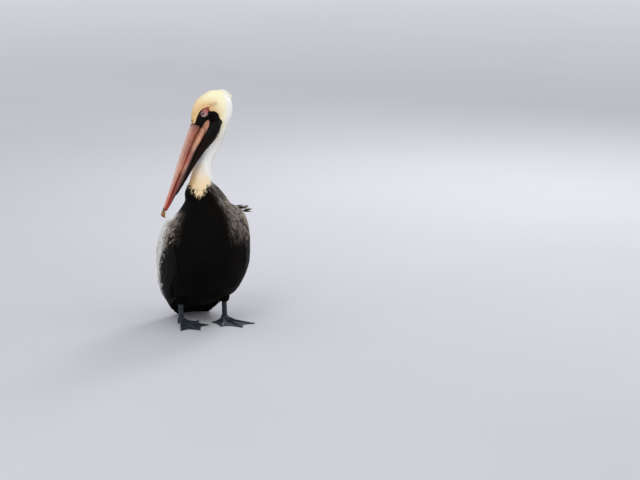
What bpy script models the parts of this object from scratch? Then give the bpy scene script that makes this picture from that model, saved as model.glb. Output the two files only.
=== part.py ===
"""Brown pelican, life-size, standing at rest with its head turned to its right.

Built in metres, +Z up. The bird faces -Y and its left side is +X. The sizes
below are millimetres on the bird, and mm() turns them to metres. Heights are
measured from the floor and y from the ankles; at the end everything is moved
so that the origin is the bottom centre of the whole bird's box.
"""
import math

import bmesh
import bpy
from mathutils import Vector

# ---------------------------------------------------------------- driving sizes
GAP = 0.3                  # thin cut between neighbouring solids
CUT_GROWTH = 0.42          # a cutting copy grows this much; sharp edges grow less
LEG_X = {"left": 64.0, "right": -70.0}
FOOT_TURN = {"left": 3.0, "right": -26.0}       # degrees each foot points outward
TARSUS_FOOT_TOP = 15.0     # height where the tarsus meets the foot
FEATHERED_FROM = 58.0      # the leg is feathered above this height
TRUNK_SIDES = 32
WING_LIFT = {"left": (1.0, 3.0), "right": (-8.0, -27.0)}   # at the tip and the shoulder
WING_SPLIT_HEIGHT = 100.0  # primaries below, coverts and secondaries above
CULMEN_BASE = Vector((-39.3, -30.5, 608.0))     # where forehead feathers meet the bill
BILL_LENGTH = 289.0
NAIL_START = 272.0         # where the hooked nail starts, ahead of the culmen base
LOWER_END = 270.0          # where the lower bill ends, under the nail
HEAD_TURN = 63.8           # degrees the bill points to the bird's right of straight ahead
HEAD_PITCH = 65.1          # degrees the bill points below level
HEAD_ROLL = 24.9           # degrees the crown leans towards the bird's left shoulder
EYE_RADIUS = 8.0
EYE_PLACE = (-36.0, -14.5, 19.5)                # ahead of, above and beside the culmen base

# ------------------------------------------------- profiles, one row per station
# Trunk: height, front y, back y, half width, centre x
TRUNK = (
    (41, 52, 88, 14, 0), (46, 30, 102, 35, 0), (60, -6, 114, 57, 0), (90, -62, 124, 93, 0),
    (128, -107, 130, 114, 0), (180, -134, 130, 121, 0), (240, -145, 122, 122, 0),
    (290, -144, 105, 113, 0), (330, -133, 82, 90, 5), (365, -114, 53, 66, 6),
    (395, -93, 25, 58, -5), (424, -72, 5, 42, -13),
)
# Closed wings' outer surface: height, front y, back y, half width
WING_COVER = (
    (12, 40, 126, 66), (40, 2, 138, 87), (62, -28, 143, 101), (92, -72, 146, 120),
    (130, -107, 148, 133), (180, -129, 147, 138), (240, -135, 139, 138.5),
    (290, -131, 122, 133), (325, -120, 102, 122), (342, -111, 92, 110),
    (352, -104, 84, 94), (358, -98, 79, 78),
)
# Part of the body's round that a wing covers: height, front edge and back edge
# in degrees from the breast bone, and thickness before the trunk cuts it
WING_REACH = (
    (12, 122, 138, 5), (40, 100, 152, 10), (80, 74, 170, 30), (130, 60, 178.5, 40),
    (200, 50, 179.4, 42), (280, 52, 179.2, 40), (325, 62, 176, 34), (345, 76, 166, 28),
    (358, 95, 146, 22),
)
# The left wing's lower half hangs closer to the body: height, share of its full reach
LEFT_WING_TUCK = ((12, 0.89), (105, 0.89), (150, 0.95), (188, 1.0), (358, 1.0))
# Tail fan: height, centre y, half width, half thickness
TAIL = (
    (0, 139, 44, 2.2), (6, 137, 55, 2.6), (20, 132, 61, 3.4), (50, 120, 56, 6),
    (90, 104, 46, 10), (130, 88, 36, 14),
)
# Neck: centre x, y, z, half depth, half width, turn of its nape to the bird's left
NECK = (
    (-16, -32, 418, 39, 39, 0), (-13, -30, 436, 34, 33.5, 6), (-10, -24, 457, 29, 30, 16),
    (-5, -16, 483, 27, 28, 32), (4, -10, 510, 27, 28, 50), (13, -9, 533, 28, 28, 66),
    (20.5, -12.5, 554, 28.5, 29, 80),
)
# Head, in the plane of the bill: nape-and-crown point and throat point, each as
# (ahead of the culmen base, above it), half width, offset to the bird's left
HEAD = (
    ((-6, -102), (-5, -46), 29.5, -14), ((-41, -106), (-13, -51), 30, -8),
    ((-81, -104), (-20, -53), 31, -4), ((-110, -86), (-25, -53), 32, -1),
    ((-121, -59), (-27, -52), 32, 0), ((-116, -34), (-27, -50), 32, 0),
    ((-106, -17), (-26, -48), 31, 0), ((-90, -4), (-23, -46), 30, 0),
    ((-74, 6), (-18, -44), 28, 0), ((-57, 12), (-13, -43), 25.5, 0),
    ((-34, 12), (-6, -42), 23, 0), ((-12, 6), (-1, -41), 20.5, 0),
    ((0, 2), (4, -38), 18.5, 0),
)
# Upper bill: distance ahead, top, bottom, half width
BILL_UPPER = (
    (4, 2, -20, 18.0), (40, 3, -18, 15.5), (90, 3, -16, 13.5), (150, 2, -13.5, 12.5),
    (210, 0, -11.5, 12.0), (249, 0, -10, 11.0), (NAIL_START, 1, -9, 8.5),
)
# Lower bill: distance ahead, top, bottom, half width
BILL_LOWER = (
    (6, -20.5, -45, 22.5), (30, -18.9, -45, 22.5), (77, -17, -36, 20), (128, -14.9, -32.5, 17),
    (181, -13, -28, 13.5), (225, -11.6, -20, 10), (256, -10.3, -14.5, 7),
    (LOWER_END, -9.8, -12, 5),
)
# Pouch: distance ahead, top, bottom, half width, offset to the bird's left
POUCH = (
    (-32, -56, -75, 22, 10), (-22, -44, -81, 33, 5), (8, -38, -83, 32, 4), (53, -36, -67, 21, 2),
    (93, -31, -54, 14.5, 0), (125, -28, -45.5, 11.5, 0), (156, -26, -39, 9.5, 0),
    (190, -23, -31, 7.5, 0), (215, -20, -25, 5.5, 0),
)
# Toes of the left foot, from the inner hind toe to the outer toe:
# direction in degrees from straight ahead (outward is positive), length, height
TOES = ((-62, 52, 7.5), (-24, 88, 9.0), (10, 113, 9.5), (40, 104, 9.0))
WEB_THICKNESS = 1.6
HEEL_RADIUS = 11.0


def mm(value):
    """Millimetres to metres, for a number or a vector."""
    return value * 0.001


# ---------------------------------------------------------------- small helpers
def curve_rows(rows, x):
    """Smooth curve through rows sorted by their first number, read at x."""
    last = len(rows) - 1
    i = max(0, min(last - 1, sum(1 for row in rows if row[0] <= x) - 1))
    a, b = rows[i], rows[i + 1]
    before, after = rows[max(i - 1, 0)], rows[min(i + 2, last)]
    span = b[0] - a[0]
    t = min(max((x - a[0]) / span, 0.0), 1.0)
    out = []
    for k in range(1, len(a)):
        rise = b[k] - a[k]
        slope_a = (b[k] - before[k]) / (b[0] - before[0]) * span
        slope_b = (after[k] - a[k]) / (after[0] - a[0]) * span
        if (a[k] - before[k]) * rise <= 0 and i > 0:
            slope_a = 0.0
        if (after[k] - b[k]) * rise <= 0 and i + 2 <= last:
            slope_b = 0.0
        t2, t3 = t * t, t * t * t
        out.append((2 * t3 - 3 * t2 + 1) * a[k] + (t3 - 2 * t2 + t) * slope_a
                   + (3 * t2 - 2 * t3) * b[k] + (t3 - t2) * slope_b)
    return out


def spread(first, last, count):
    return [first + (last - first) * i / (count - 1) for i in range(count)]


def superellipse(angle, power):
    c, s = math.cos(angle), math.sin(angle)
    return (math.copysign(abs(c) ** (2 / power), c), math.copysign(abs(s) ** (2 / power), s))


def oval_ring(centre, out, side, count, power=2.0):
    """Closed ring of points round a centre, from two half-axis vectors."""
    ring = []
    for k in range(count):
        c, s = superellipse(2 * math.pi * k / count, power)
        ring.append(centre + out * c + side * s)
    return ring


def new_object(name, bm, material):
    bmesh.ops.recalc_face_normals(bm, faces=bm.faces[:])
    mesh = bpy.data.meshes.new(name)
    bm.to_mesh(mesh)
    bm.free()
    mesh.shade_smooth()
    mesh.set_sharp_from_angle(angle=math.radians(50))
    mesh.materials.append(material)
    obj = bpy.data.objects.new(name, mesh)
    bpy.context.scene.collection.objects.link(obj)
    return obj


def loft(name, rings, material):
    """Skin a row of rings with the same number of points, and cap both ends."""
    bm = bmesh.new()
    rows = [[bm.verts.new(mm(point)) for point in ring] for ring in rings]
    for low, high in zip(rows, rows[1:]):
        for k in range(len(low)):
            n = (k + 1) % len(low)
            bm.faces.new((low[k], low[n], high[n], high[k]))
    bm.faces.new(rows[0])
    bm.faces.new(rows[-1])
    return new_object(name, bm, material)


def cut_by(obj, *tools):
    """Cut an object by others, each grown by the gap, so that they never touch."""
    for tool in tools:
        cutter = bpy.data.objects.new("cut_" + obj.name + "_" + tool.name, tool.data)
        bpy.context.scene.collection.objects.link(cutter)
        for done in tool.modifiers:
            copy = cutter.modifiers.new(done.name, "BOOLEAN")
            copy.operation = done.operation
            copy.object = done.object
        grow = cutter.modifiers.new("grow", "DISPLACE")
        grow.mid_level = 0.0
        grow.strength = mm(CUT_GROWTH)
        hide_guide(cutter)
        take_away(obj, cutter)


def hide_guide(obj):
    obj.hide_render = True
    obj.display_type = "WIRE"


def take_away(obj, cutter):
    boolean = obj.modifiers.new("cut", "BOOLEAN")
    boolean.operation = "DIFFERENCE"
    boolean.object = cutter


def finish(name, colour, roughness, metallic=0.0):
    material = bpy.data.materials.new(name)
    material.use_nodes = True
    shader = material.node_tree.nodes["Principled BSDF"]
    shader.inputs["Base Color"].default_value = (*colour, 1.0)
    shader.inputs["Roughness"].default_value = roughness
    shader.inputs["Metallic"].default_value = metallic
    material.diffuse_color = (*colour, 1.0)
    return material


# ------------------------------------------------------------ the head's own axes
def head_axes():
    """Unit vectors: along the bill, up from the culmen, and to the bird's left."""
    turn, pitch, roll = (math.radians(v) for v in (HEAD_TURN, HEAD_PITCH, HEAD_ROLL))
    ahead = Vector((-math.sin(turn) * math.cos(pitch), -math.cos(turn) * math.cos(pitch),
                    -math.sin(pitch)))
    level_up = (Vector((0, 0, 1)) - ahead * ahead.z).normalized()
    sideways = ahead.cross(level_up)
    up = level_up * math.cos(roll) + sideways * math.sin(roll)
    return ahead, up, up.cross(ahead)


AHEAD, UP, LEFT = head_axes()


def head_point(ahead, up, left=0.0):
    return CULMEN_BASE + AHEAD * ahead + UP * up + LEFT * left


# --------------------------------------------------------------------- trunk
def trunk_ring(height, count=TRUNK_SIDES):
    front, back, half_width, centre_x = curve_rows(TRUNK, height)
    centre = Vector((centre_x, (front + back) / 2, height))
    return oval_ring(centre, Vector((half_width, 0, 0)), Vector((0, (back - front) / 2, 0)),
                     count, 2.08)


def make_trunk(material):
    heights = [41, 43, 46, 52, 62, 75] + spread(90, 424, 14)
    return loft("trunk", [trunk_ring(h) for h in heights], material)


# --------------------------------------------------------------------- wings
def wing_point(side, height, degrees, inset=0.0):
    """A point on a closed wing's cover, from the breast bone round to the back."""
    front, back, half_width = curve_rows(WING_COVER, height)
    c, s = superellipse(math.radians(degrees - 90), 2.08)
    x = c * (half_width - inset)
    y = (front + back) / 2 + s * ((back - front) / 2 - inset)
    return Vector((x * side, y, 0))


def wing_ring(side, lift, height, across=11):
    front, back, thickness = curve_rows(WING_REACH, height)
    outer = [wing_point(side, height, a) for a in spread(front, back, across)]
    inner = [wing_point(side, height, a, thickness) for a in spread(back, front, across)]
    rise = min(max((height - 150.0) / 150.0, 0.0), 1.0)
    level = height + lift[0] + (lift[1] - lift[0]) * rise
    reach = curve_rows(LEFT_WING_TUCK, height)[0] if side > 0 else 1.0
    return [Vector((point.x * reach, point.y, level)) for point in outer + inner]


def make_wing(name, side, lift, low, high, count, material):
    rings = [wing_ring(side, lift, h) for h in spread(low, high, count)]
    return loft(name, rings, material)


# ---------------------------------------------------------------------- tail
def tail_ring(height):
    centre_y, half_width, half_thick = curve_rows(TAIL, height)
    ring = []
    for point in oval_ring(Vector((0, 0, height)), Vector((half_width, 0, 0)),
                           Vector((0, half_thick, 0)), 22, 2.6):
        arch = 14.0 * (point.x / half_width) ** 2
        ring.append(point + Vector((0, centre_y - arch, 0)))
    return ring


def make_tail(material):
    heights = [0, 4, 12, 28, 50, 80, 130]
    return loft("tail", [tail_ring(h) for h in heights], material)


# -------------------------------------------------------------- neck and head
def neck_row(station, row):
    x, y, z, half_depth, half_width, turn = row
    angle = math.radians(turn)
    nape = Vector((math.sin(angle), math.cos(angle), 0)) * half_depth
    left = Vector((math.cos(angle), -math.sin(angle), 0)) * half_width
    return (station, x, y, z, *nape, *left)


def head_row(station, row):
    crown, throat, half_width, offset = row
    top = head_point(*crown, offset)
    bottom = head_point(*throat, offset)
    return (station, *((top + bottom) / 2), *((top - bottom) / 2), *(LEFT * half_width))


def neck_and_head_rows():
    rows = [neck_row(k, row) for k, row in enumerate(NECK)]
    rows += [head_row(len(NECK) + k, row) for k, row in enumerate(HEAD)]
    return rows


def neck_and_head_ring(rows, station, count=22):
    values = curve_rows(rows, station)
    return oval_ring(Vector(values[0:3]), Vector(values[3:6]), Vector(values[6:9]), count)


def make_neck_and_head(flesh, face):
    """Four lengths of one smooth form; each starts a thin cut past the last one."""
    rows = neck_and_head_rows()
    last = len(rows) - 1
    cuts = (("neck_lower", 0.0, 2.5, 6), ("neck_middle", 2.5, 4.5, 5),
            ("neck_upper", 4.5, 6.5, 5), ("head", 6.5, last, 19))
    pieces = {}
    for name, first, end, count in cuts:
        rings = [neck_and_head_ring(rows, s) for s in spread(first, end, count)]
        if first > 0:
            step = (rings[1][0] - rings[0][0]).normalized() * GAP
            rings[0] = [point + step for point in rings[0]]
        pieces[name] = loft(name, rings, face if name == "head" else flesh)
    return pieces


# ---------------------------------------------------------------------- bill
def bill_ring(ahead, top, bottom, half_width, offset=0.0, count=16, power=2.4):
    centre = head_point(ahead, (top + bottom) / 2, offset)
    return oval_ring(centre, UP * ((top - bottom) / 2), LEFT * half_width, count, power)


def bill_rings(rows, distances, count=16, power=2.4):
    rings = []
    for d in distances:
        values = curve_rows(rows, d)
        offset = values[3] if len(values) > 3 else 0.0
        rings.append(bill_ring(d, values[0], values[1], values[2], offset, count, power))
    return rings


def make_bill_upper(material):
    return loft("bill_upper", bill_rings(BILL_UPPER, spread(2, NAIL_START, 12)), material)


def make_bill_nail(material):
    """Hooked tip of the upper bill: it turns down over the lower bill's end."""
    start = NAIL_START + GAP
    rings = []
    for k, t in enumerate(spread(0, 1, 7)):
        ahead = start + (BILL_LENGTH - start) * math.sin(t * math.pi / 2)
        top = 1.5 + 1.5 * math.sin(t * math.pi) - 8.0 * t ** 3
        bottom = -9.0 - 9.0 * t ** 2
        half_width = 8.2 * (1 - 0.66 * t ** 2)
        rings.append(bill_ring(ahead, top, bottom, half_width, power=2.1))
    return loft("bill_nail", rings, material)


def make_bill_lower(material):
    return loft("bill_lower", bill_rings(BILL_LOWER, spread(4, LOWER_END, 12)), material)


def make_pouch(material):
    distances = [-32, -28, -20, -8] + spread(8, 215, 10)
    return loft("pouch", bill_rings(POUCH, distances, 18, 2.1), material)


# ---------------------------------------------------------------------- eyes
def make_eye(name, side, material):
    bm = bmesh.new()
    bmesh.ops.create_uvsphere(bm, u_segments=14, v_segments=9, radius=mm(EYE_RADIUS))
    ahead, up, left = EYE_PLACE
    bmesh.ops.translate(bm, verts=bm.verts, vec=mm(head_point(ahead, up, left * side)))
    return new_object(name, bm, material)


# ---------------------------------------------------------------------- legs
def foot_reach(degrees):
    """How far the web or a toe reaches in one direction, and its ridge's height."""
    first, last = TOES[0], TOES[-1]
    if degrees < first[0] or degrees > last[0]:
        toe = first if abs(degrees - first[0]) < abs(degrees - last[0]) else last
        away = min(abs(degrees - first[0]), abs(degrees - last[0]))
        fade = math.exp(-(away / 5.0) ** 2)
        return HEEL_RADIUS + (toe[1] - HEEL_RADIUS) * fade, fade, toe[2]
    for inner, outer in zip(TOES, TOES[1:]):
        if inner[0] <= degrees <= outer[0]:
            t = (degrees - inner[0]) / (outer[0] - inner[0])
            web = (inner[1] + (outer[1] - inner[1]) * t) * (1 - 0.20 * math.sin(math.pi * t))
            width = (outer[0] - inner[0]) * min(t, 1 - t)
            ridge = math.exp(-(width / 3.6) ** 2)
            return web, ridge, inner[2] if t < 0.5 else outer[2]
    return HEEL_RADIUS, 0.0, 0.0


def make_foot(name, leg_x, side, material):
    """Webbed foot: a fan of flat-soled rays, high along the toes and thin between."""
    angles = [-180 + 20 * k for k in range(5)]
    angles += [-74, -68]
    for inner, outer in zip(TOES, TOES[1:]):
        angles += [inner[0] + (outer[0] - inner[0]) * t for t in
                   (0, 0.15, 0.5, 0.85)]
    angles += [TOES[-1][0], 46, 52] + [60 + 20 * k for k in range(6)]
    shares = (0.0, 0.14, 0.32, 0.66, 0.95, 1.0)
    turn = math.radians(FOOT_TURN["left" if side > 0 else "right"])
    bm = bmesh.new()
    tops, soles = [], []
    for degrees in angles:
        reach, ridge, height = foot_reach(degrees)
        along = math.radians(degrees) + turn
        top_row, sole_row = [], []
        for share in shares:
            radius = HEEL_RADIUS * 0.75 + (reach - HEEL_RADIUS * 0.75) * share
            near = math.exp(-((radius - HEEL_RADIUS * 0.75) / 12.0) ** 2)
            arched = height * ridge * (1 - 0.55 * share) * (0.35 if share == 1.0 else 1)
            z = max(WEB_THICKNESS, arched, TARSUS_FOOT_TOP * near)
            x, y = side * radius * math.sin(along), -radius * math.cos(along)
            top_row.append(bm.verts.new(mm(Vector((x, y, z)))))
            sole_row.append(bm.verts.new(mm(Vector((x, y, 0)))))
        tops.append(top_row)
        soles.append(sole_row)
    count = len(angles)
    for k in range(count):
        n = (k + 1) % count
        for i in range(len(shares) - 1):
            bm.faces.new((tops[k][i], tops[k][i + 1], tops[n][i + 1], tops[n][i]))
            bm.faces.new((soles[k][i], soles[n][i], soles[n][i + 1], soles[k][i + 1]))
        bm.faces.new((tops[k][-1], soles[k][-1], soles[n][-1], tops[n][-1]))
    bm.faces.new([row[0] for row in tops])
    bm.faces.new([row[0] for row in soles])
    foot = new_object(name, bm, material)
    foot.location = mm(Vector((leg_x, 4, 0)))
    return foot


def leg_ring(x, y, z, half_width, half_depth, count=14):
    return oval_ring(Vector((x, y, z)), Vector((half_width, 0, 0)),
                     Vector((0, half_depth, 0)), count)


def make_tarsus(name, x, material):
    bottom = TARSUS_FOOT_TOP + GAP
    rings = [leg_ring(x, 4, bottom, 7.8, 8.0), leg_ring(x, 4, 24, 7.8, 8.2),
             leg_ring(x, 6, 42, 7.6, 8.4), leg_ring(x, 9, 60, 8.0, 8.8),
             leg_ring(x, 10, 70, 8.6, 10.0), leg_ring(x, 10, FEATHERED_FROM + 24, 9.0, 10.5)]
    return loft(name, rings, material)


def make_thigh(name, x, material):
    bottom = FEATHERED_FROM
    rings = [leg_ring(x, 9, bottom, 12.5, 13.5), leg_ring(x, 8, bottom + 4, 15, 18),
             leg_ring(x * 0.97, 4, bottom + 14, 17, 25),
             leg_ring(x * 0.88, 0, bottom + 34, 20, 30),
             leg_ring(x * 0.8, -4, bottom + 50, 20, 30)]
    return loft(name, rings, material)


# ------------------------------------------------------------------ the whole bird
def clear_scene():
    for obj in list(bpy.data.objects):
        bpy.data.objects.remove(obj, do_unlink=True)


def centre_on_floor():
    """Move the whole bird so that the bottom centre of its box is the origin."""
    bpy.context.view_layer.update()
    graph = bpy.context.evaluated_depsgraph_get()
    points = []
    for obj in bpy.data.objects:
        if obj.type == "MESH" and not obj.hide_render:
            shown = obj.evaluated_get(graph)
            points += [shown.matrix_world @ vert.co for vert in shown.data.vertices]
    middle = [(min(p[k] for p in points) + max(p[k] for p in points)) / 2 for k in (0, 1)]
    home = bpy.data.objects.new("bird", None)
    bpy.context.scene.collection.objects.link(home)
    for obj in bpy.data.objects:
        if obj.type == "MESH":
            obj.parent = home
    home.location = (-middle[0], -middle[1], 0)


def build():
    clear_scene()
    dark = finish("dark_plumage", (0.02, 0.016, 0.014), 0.8)
    silver = finish("silver_plumage", (0.30, 0.29, 0.28), 0.75)
    white = finish("white_plumage", (0.85, 0.83, 0.76), 0.8)
    yellow = finish("yellow_plumage", (0.88, 0.78, 0.45), 0.8)
    horn = finish("bill_horn", (0.45, 0.25, 0.20), 0.45)
    tip = finish("nail_horn", (0.75, 0.50, 0.12), 0.4)
    skin = finish("pouch_skin", (0.02, 0.02, 0.022), 0.5)
    slate = finish("leg_skin", (0.06, 0.075, 0.09), 0.55)
    iris = finish("eye", (0.75, 0.70, 0.66), 0.1)

    trunk = make_trunk(dark)
    tail = make_tail(dark)
    pieces = make_neck_and_head(white, yellow)
    cut_by(pieces["neck_lower"], trunk)
    upper = make_bill_upper(horn)
    cut_by(upper, pieces["head"])
    make_bill_nail(tip)
    lower = make_bill_lower(horn)
    cut_by(lower, pieces["head"])
    pouch = make_pouch(skin)
    cut_by(pouch, pieces["head"], pieces["neck_upper"], pieces["neck_middle"], lower, upper)
    for name, side in (("left", 1), ("right", -1)):
        eye = make_eye("eye_" + name, side, iris)
        cut_by(pieces["head"], eye)

        lift = WING_LIFT[name]
        coverts = make_wing("wing_" + name, side, lift, WING_SPLIT_HEIGHT + GAP, 358, 14, silver)
        cut_by(coverts, trunk)
        primaries = make_wing("primaries_" + name, side, lift, 12, WING_SPLIT_HEIGHT, 7, dark)
        cut_by(primaries, trunk)
        cut_by(tail, primaries, coverts)

        foot = make_foot("foot_" + name, LEG_X[name], side, slate)
        tarsus = make_tarsus("tarsus_" + name, LEG_X[name], slate)
        thigh = make_thigh("thigh_" + name, LEG_X[name], dark)
        cut_by(tarsus, trunk, foot)
        cut_by(thigh, trunk, tarsus, primaries, coverts)
    cut_by(tail, trunk)
    centre_on_floor()


build()
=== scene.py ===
# %% [markdown]
# # A life-size brown pelican, standing at rest
# The real thing is a bird of about 3.5 kg: a body of dark plumes, silver wings, a white neck,
# a pale yellow crown, bare black skin round the face and pouch, and a long horny bill.
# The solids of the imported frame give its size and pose. This lesson dresses them: one skin
# over all the flesh, then feathers laid on it as thin closed vanes, then bill, eyes and feet.

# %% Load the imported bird
import math

import bpy
import numpy as np
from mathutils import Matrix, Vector
from mathutils.bvhtree import BVHTree
from mathutils.kdtree import KDTree


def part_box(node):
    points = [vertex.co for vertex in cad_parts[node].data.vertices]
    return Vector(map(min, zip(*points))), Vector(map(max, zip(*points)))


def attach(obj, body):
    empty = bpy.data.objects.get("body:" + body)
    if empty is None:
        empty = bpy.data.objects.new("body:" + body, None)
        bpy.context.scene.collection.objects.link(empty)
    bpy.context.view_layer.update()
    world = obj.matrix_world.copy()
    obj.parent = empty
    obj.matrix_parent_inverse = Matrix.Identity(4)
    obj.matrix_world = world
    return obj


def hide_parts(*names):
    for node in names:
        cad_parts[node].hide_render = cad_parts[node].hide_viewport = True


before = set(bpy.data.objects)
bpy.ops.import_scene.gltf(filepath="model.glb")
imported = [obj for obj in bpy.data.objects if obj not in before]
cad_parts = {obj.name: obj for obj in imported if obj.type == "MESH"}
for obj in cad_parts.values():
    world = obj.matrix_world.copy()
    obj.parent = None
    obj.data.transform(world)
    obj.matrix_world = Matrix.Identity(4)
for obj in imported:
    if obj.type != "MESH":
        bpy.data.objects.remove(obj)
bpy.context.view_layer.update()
bpy.ops.object.select_all(action="DESELECT")

# %% [markdown]
# ## The head's own axes
# The bill hangs down and to one side, so along, above and beside the bill are worked out
# once, from three angles, and everything on the head is placed by them. The two eyes of the
# frame fix where that little grid of millimetres sits, and the body's grid follows from it.


# %% Head axes and body axes
def head_axes(turn, pitch, roll):
    turn, pitch, roll = (math.radians(v) for v in (turn, pitch, roll))
    ahead = Vector((-math.sin(turn) * math.cos(pitch), -math.cos(turn) * math.cos(pitch),
                    -math.sin(pitch)))
    level_up = (Vector((0, 0, 1)) - ahead * ahead.z).normalized()
    up = level_up * math.cos(roll) + ahead.cross(level_up) * math.sin(roll)
    return np.array((ahead, up, up.cross(ahead)))


HEAD_AXES = head_axes(63.8, 65.1, 24.9)          # turned, lowered and rolled, in degrees
AHEAD, UP, LEFT = HEAD_AXES
SIDES = {"left": 1, "right": -1}
EYE = {side: np.array(sum(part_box("eye_" + side), Vector())) / 2 for side in SIDES}
EYE_AHEAD, EYE_UP = -36.0, -14.5                 # of the eyes, from the culmen's base, mm
CULMEN = (EYE["left"] + EYE["right"]) / 2 - (AHEAD * EYE_AHEAD + UP * EYE_UP) / 1000
HOME = CULMEN - np.array((-0.0393, -0.0305, 0.608))   # between the ankles, on the floor


def head_plane(points):
    """Millimetres ahead of, above and beside the culmen's base."""
    return ((points - CULMEN) * 1000) @ HEAD_AXES.T


def head_spot(ahead, up, left=0.0):
    return CULMEN + (AHEAD * ahead + UP * up + LEFT * left) / 1000


def bird_mm(points):
    """Millimetres to the bird's left, behind the ankles and above the floor."""
    return (points - HOME) * 1000


print("culmen base", CULMEN.round(4), "ankles", HOME.round(4))

# %% [markdown]
# ## The camera
# A long lens far away keeps a bird's proportions true, so the camera stands 8 m off with a
# 150 mm lens. It looks a little down, and a little from the bird's right. The aim is set
# beside and above the bird, which leaves it left of the middle with air in front.


# %% Camera
AZIMUTH, ELEVATION, DISTANCE = math.radians(-14.0), math.radians(13.5), 8.0
ASIDE, RAISED = 0.3495, 0.2415                   # of the aim, from the ankles, metres
BACK = Vector((math.sin(AZIMUTH) * math.cos(ELEVATION),
               -math.cos(AZIMUTH) * math.cos(ELEVATION), math.sin(ELEVATION)))
ACROSS = Vector((math.cos(AZIMUTH), math.sin(AZIMUTH), 0))
stand = Vector(HOME) + BACK * DISTANCE
aim = Vector(HOME) + ACROSS * ASIDE + BACK.cross(ACROSS) * RAISED
bpy.ops.object.camera_add(location=stand,
                          rotation=(aim - stand).to_track_quat("-Z", "Y").to_euler())
camera = bpy.context.object
camera.data.lens = 150
camera.data.sensor_width = 36
camera.data.clip_end = 60
bpy.context.scene.camera = camera
print("camera", [round(v, 3) for v in camera.location])

# %% [markdown]
# ## Small tools for colour, nodes and meshes
# Colours are written as a painter's hex values and turned to linear light by one function.
# One function adds a shader node with its settings and links. The mesh tools read and write
# all points of a mesh at once, because a coat has hundreds of thousands of them.


# %% Colour and node tools
def ink(hex_colour):
    """An sRGB hex colour as linear red, green and blue."""
    channels = np.array([int(hex_colour[k:k + 2], 16) / 255 for k in (1, 3, 5)])
    return np.where(channels <= 0.04045, channels / 12.92, ((channels + 0.055) / 1.055) ** 2.4)


def add_node(tree, kind, settings=None, links=None):
    node = tree.nodes.new(kind)
    for key, value in (settings or {}).items():
        if isinstance(key, int) or key in node.inputs:
            node.inputs[key].default_value = value
        else:
            setattr(node, key, value)
    for key, source in (links or {}).items():
        tree.links.new(source, node.inputs[key])
    return node


def new_material(name, settings):
    material = bpy.data.materials.new(name)
    material.use_nodes = True
    tree = material.node_tree
    shader = tree.nodes["Principled BSDF"]
    for key, value in settings.items():
        shader.inputs[key].default_value = value
    print("material", name)
    return material, tree, shader


def smooth(value, low, high):
    """0 below low, 1 above high, with an even slope between."""
    t = np.clip((value - low) / (high - low), 0, 1)
    return t * t * (3 - 2 * t)


def mix(first, second, share):
    return first + (second - first) * np.asarray(share)[..., None]


def mottle(points, size, seed):
    """Soft patches from -1 to 1 over points in millimetres; size is a patch's width."""
    draw = np.random.default_rng(seed)
    total = np.zeros(len(points))
    for _ in range(6):
        wave = draw.normal(size=3)
        wave *= math.pi / size / np.linalg.norm(wave) * draw.uniform(0.7, 1.4)
        total += np.sin(points @ wave + draw.uniform(0, 6.28))
    return np.clip(total / 3, -1, 1)


# %% Mesh tools
def read_points(obj, what="co"):
    values = np.empty(len(obj.data.vertices) * 3, np.float32)
    obj.data.vertices.foreach_get(what, values)
    return values.reshape(-1, 3).astype(float)


def write_points(obj, points):
    obj.data.vertices.foreach_set("co", points.astype(np.float32).ravel())
    obj.data.update()


def select_only(obj):
    bpy.ops.object.select_all(action="DESELECT")
    obj.select_set(True)
    bpy.context.view_layer.objects.active = obj


def apply_modifier(obj, kind, **settings):
    select_only(obj)
    modifier = obj.modifiers.new(kind.title(), kind)
    for key, value in settings.items():
        setattr(modifier, key, value)
    bpy.ops.object.modifier_apply(modifier=modifier.name)


def in_edit_mode(obj, chosen, *steps):
    """Select the chosen vertices, or all of them, and run edit-mode steps."""
    select_only(obj)
    bpy.ops.object.mode_set(mode="EDIT")
    bpy.ops.mesh.select_mode(type="VERT")
    bpy.ops.mesh.select_all(action="SELECT" if chosen is None else "DESELECT")
    if chosen is not None:
        bpy.ops.object.mode_set(mode="OBJECT")
        obj.data.vertices.foreach_set("select", chosen)
        bpy.ops.object.mode_set(mode="EDIT")
    for step in steps:
        step()
    bpy.ops.object.mode_set(mode="OBJECT")


def paint(obj, tint, name="tint"):
    """Keep a linear colour at every vertex, for the material to read."""
    layer = obj.data.attributes.get(name) or obj.data.attributes.new(name, "FLOAT_COLOR", "POINT")
    rgba = np.ones((len(tint), 4), np.float32)
    rgba[:, :3] = tint
    layer.data.foreach_set("color", rgba.ravel())


def copy_of_nodes(name, nodes, grow=0.0):
    """Copies of CAD nodes, welded, grown a little and joined."""
    copies = []
    for node in nodes:
        copy = bpy.data.objects.new(name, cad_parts[node].data.copy())
        bpy.context.scene.collection.objects.link(copy)
        copy.data.materials.clear()
        in_edit_mode(copy, None, lambda: bpy.ops.mesh.remove_doubles(threshold=1e-5))
        if grow:
            apply_modifier(copy, "DISPLACE", strength=grow, mid_level=0.0)
        copies.append(copy)
    bpy.ops.object.select_all(action="DESELECT")
    for copy in copies:
        copy.select_set(True)
    bpy.context.view_layer.objects.active = copies[0]
    bpy.ops.object.join()
    return copies[0]


def even_out(values, obj, rounds):
    """Average a value along the mesh's edges, so that it changes gently."""
    edges = np.array([edge.vertices[:] for edge in obj.data.edges])
    share = np.bincount(edges.ravel(), minlength=len(values)) + 1
    for _ in range(rounds):
        total = values.copy()
        np.add.at(total, edges[:, 0], values[edges[:, 1]])
        np.add.at(total, edges[:, 1], values[edges[:, 0]])
        values = total / share
    return values


def triangles(obj):
    obj.data.calc_loop_triangles()
    return len(obj.data.loop_triangles)


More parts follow.
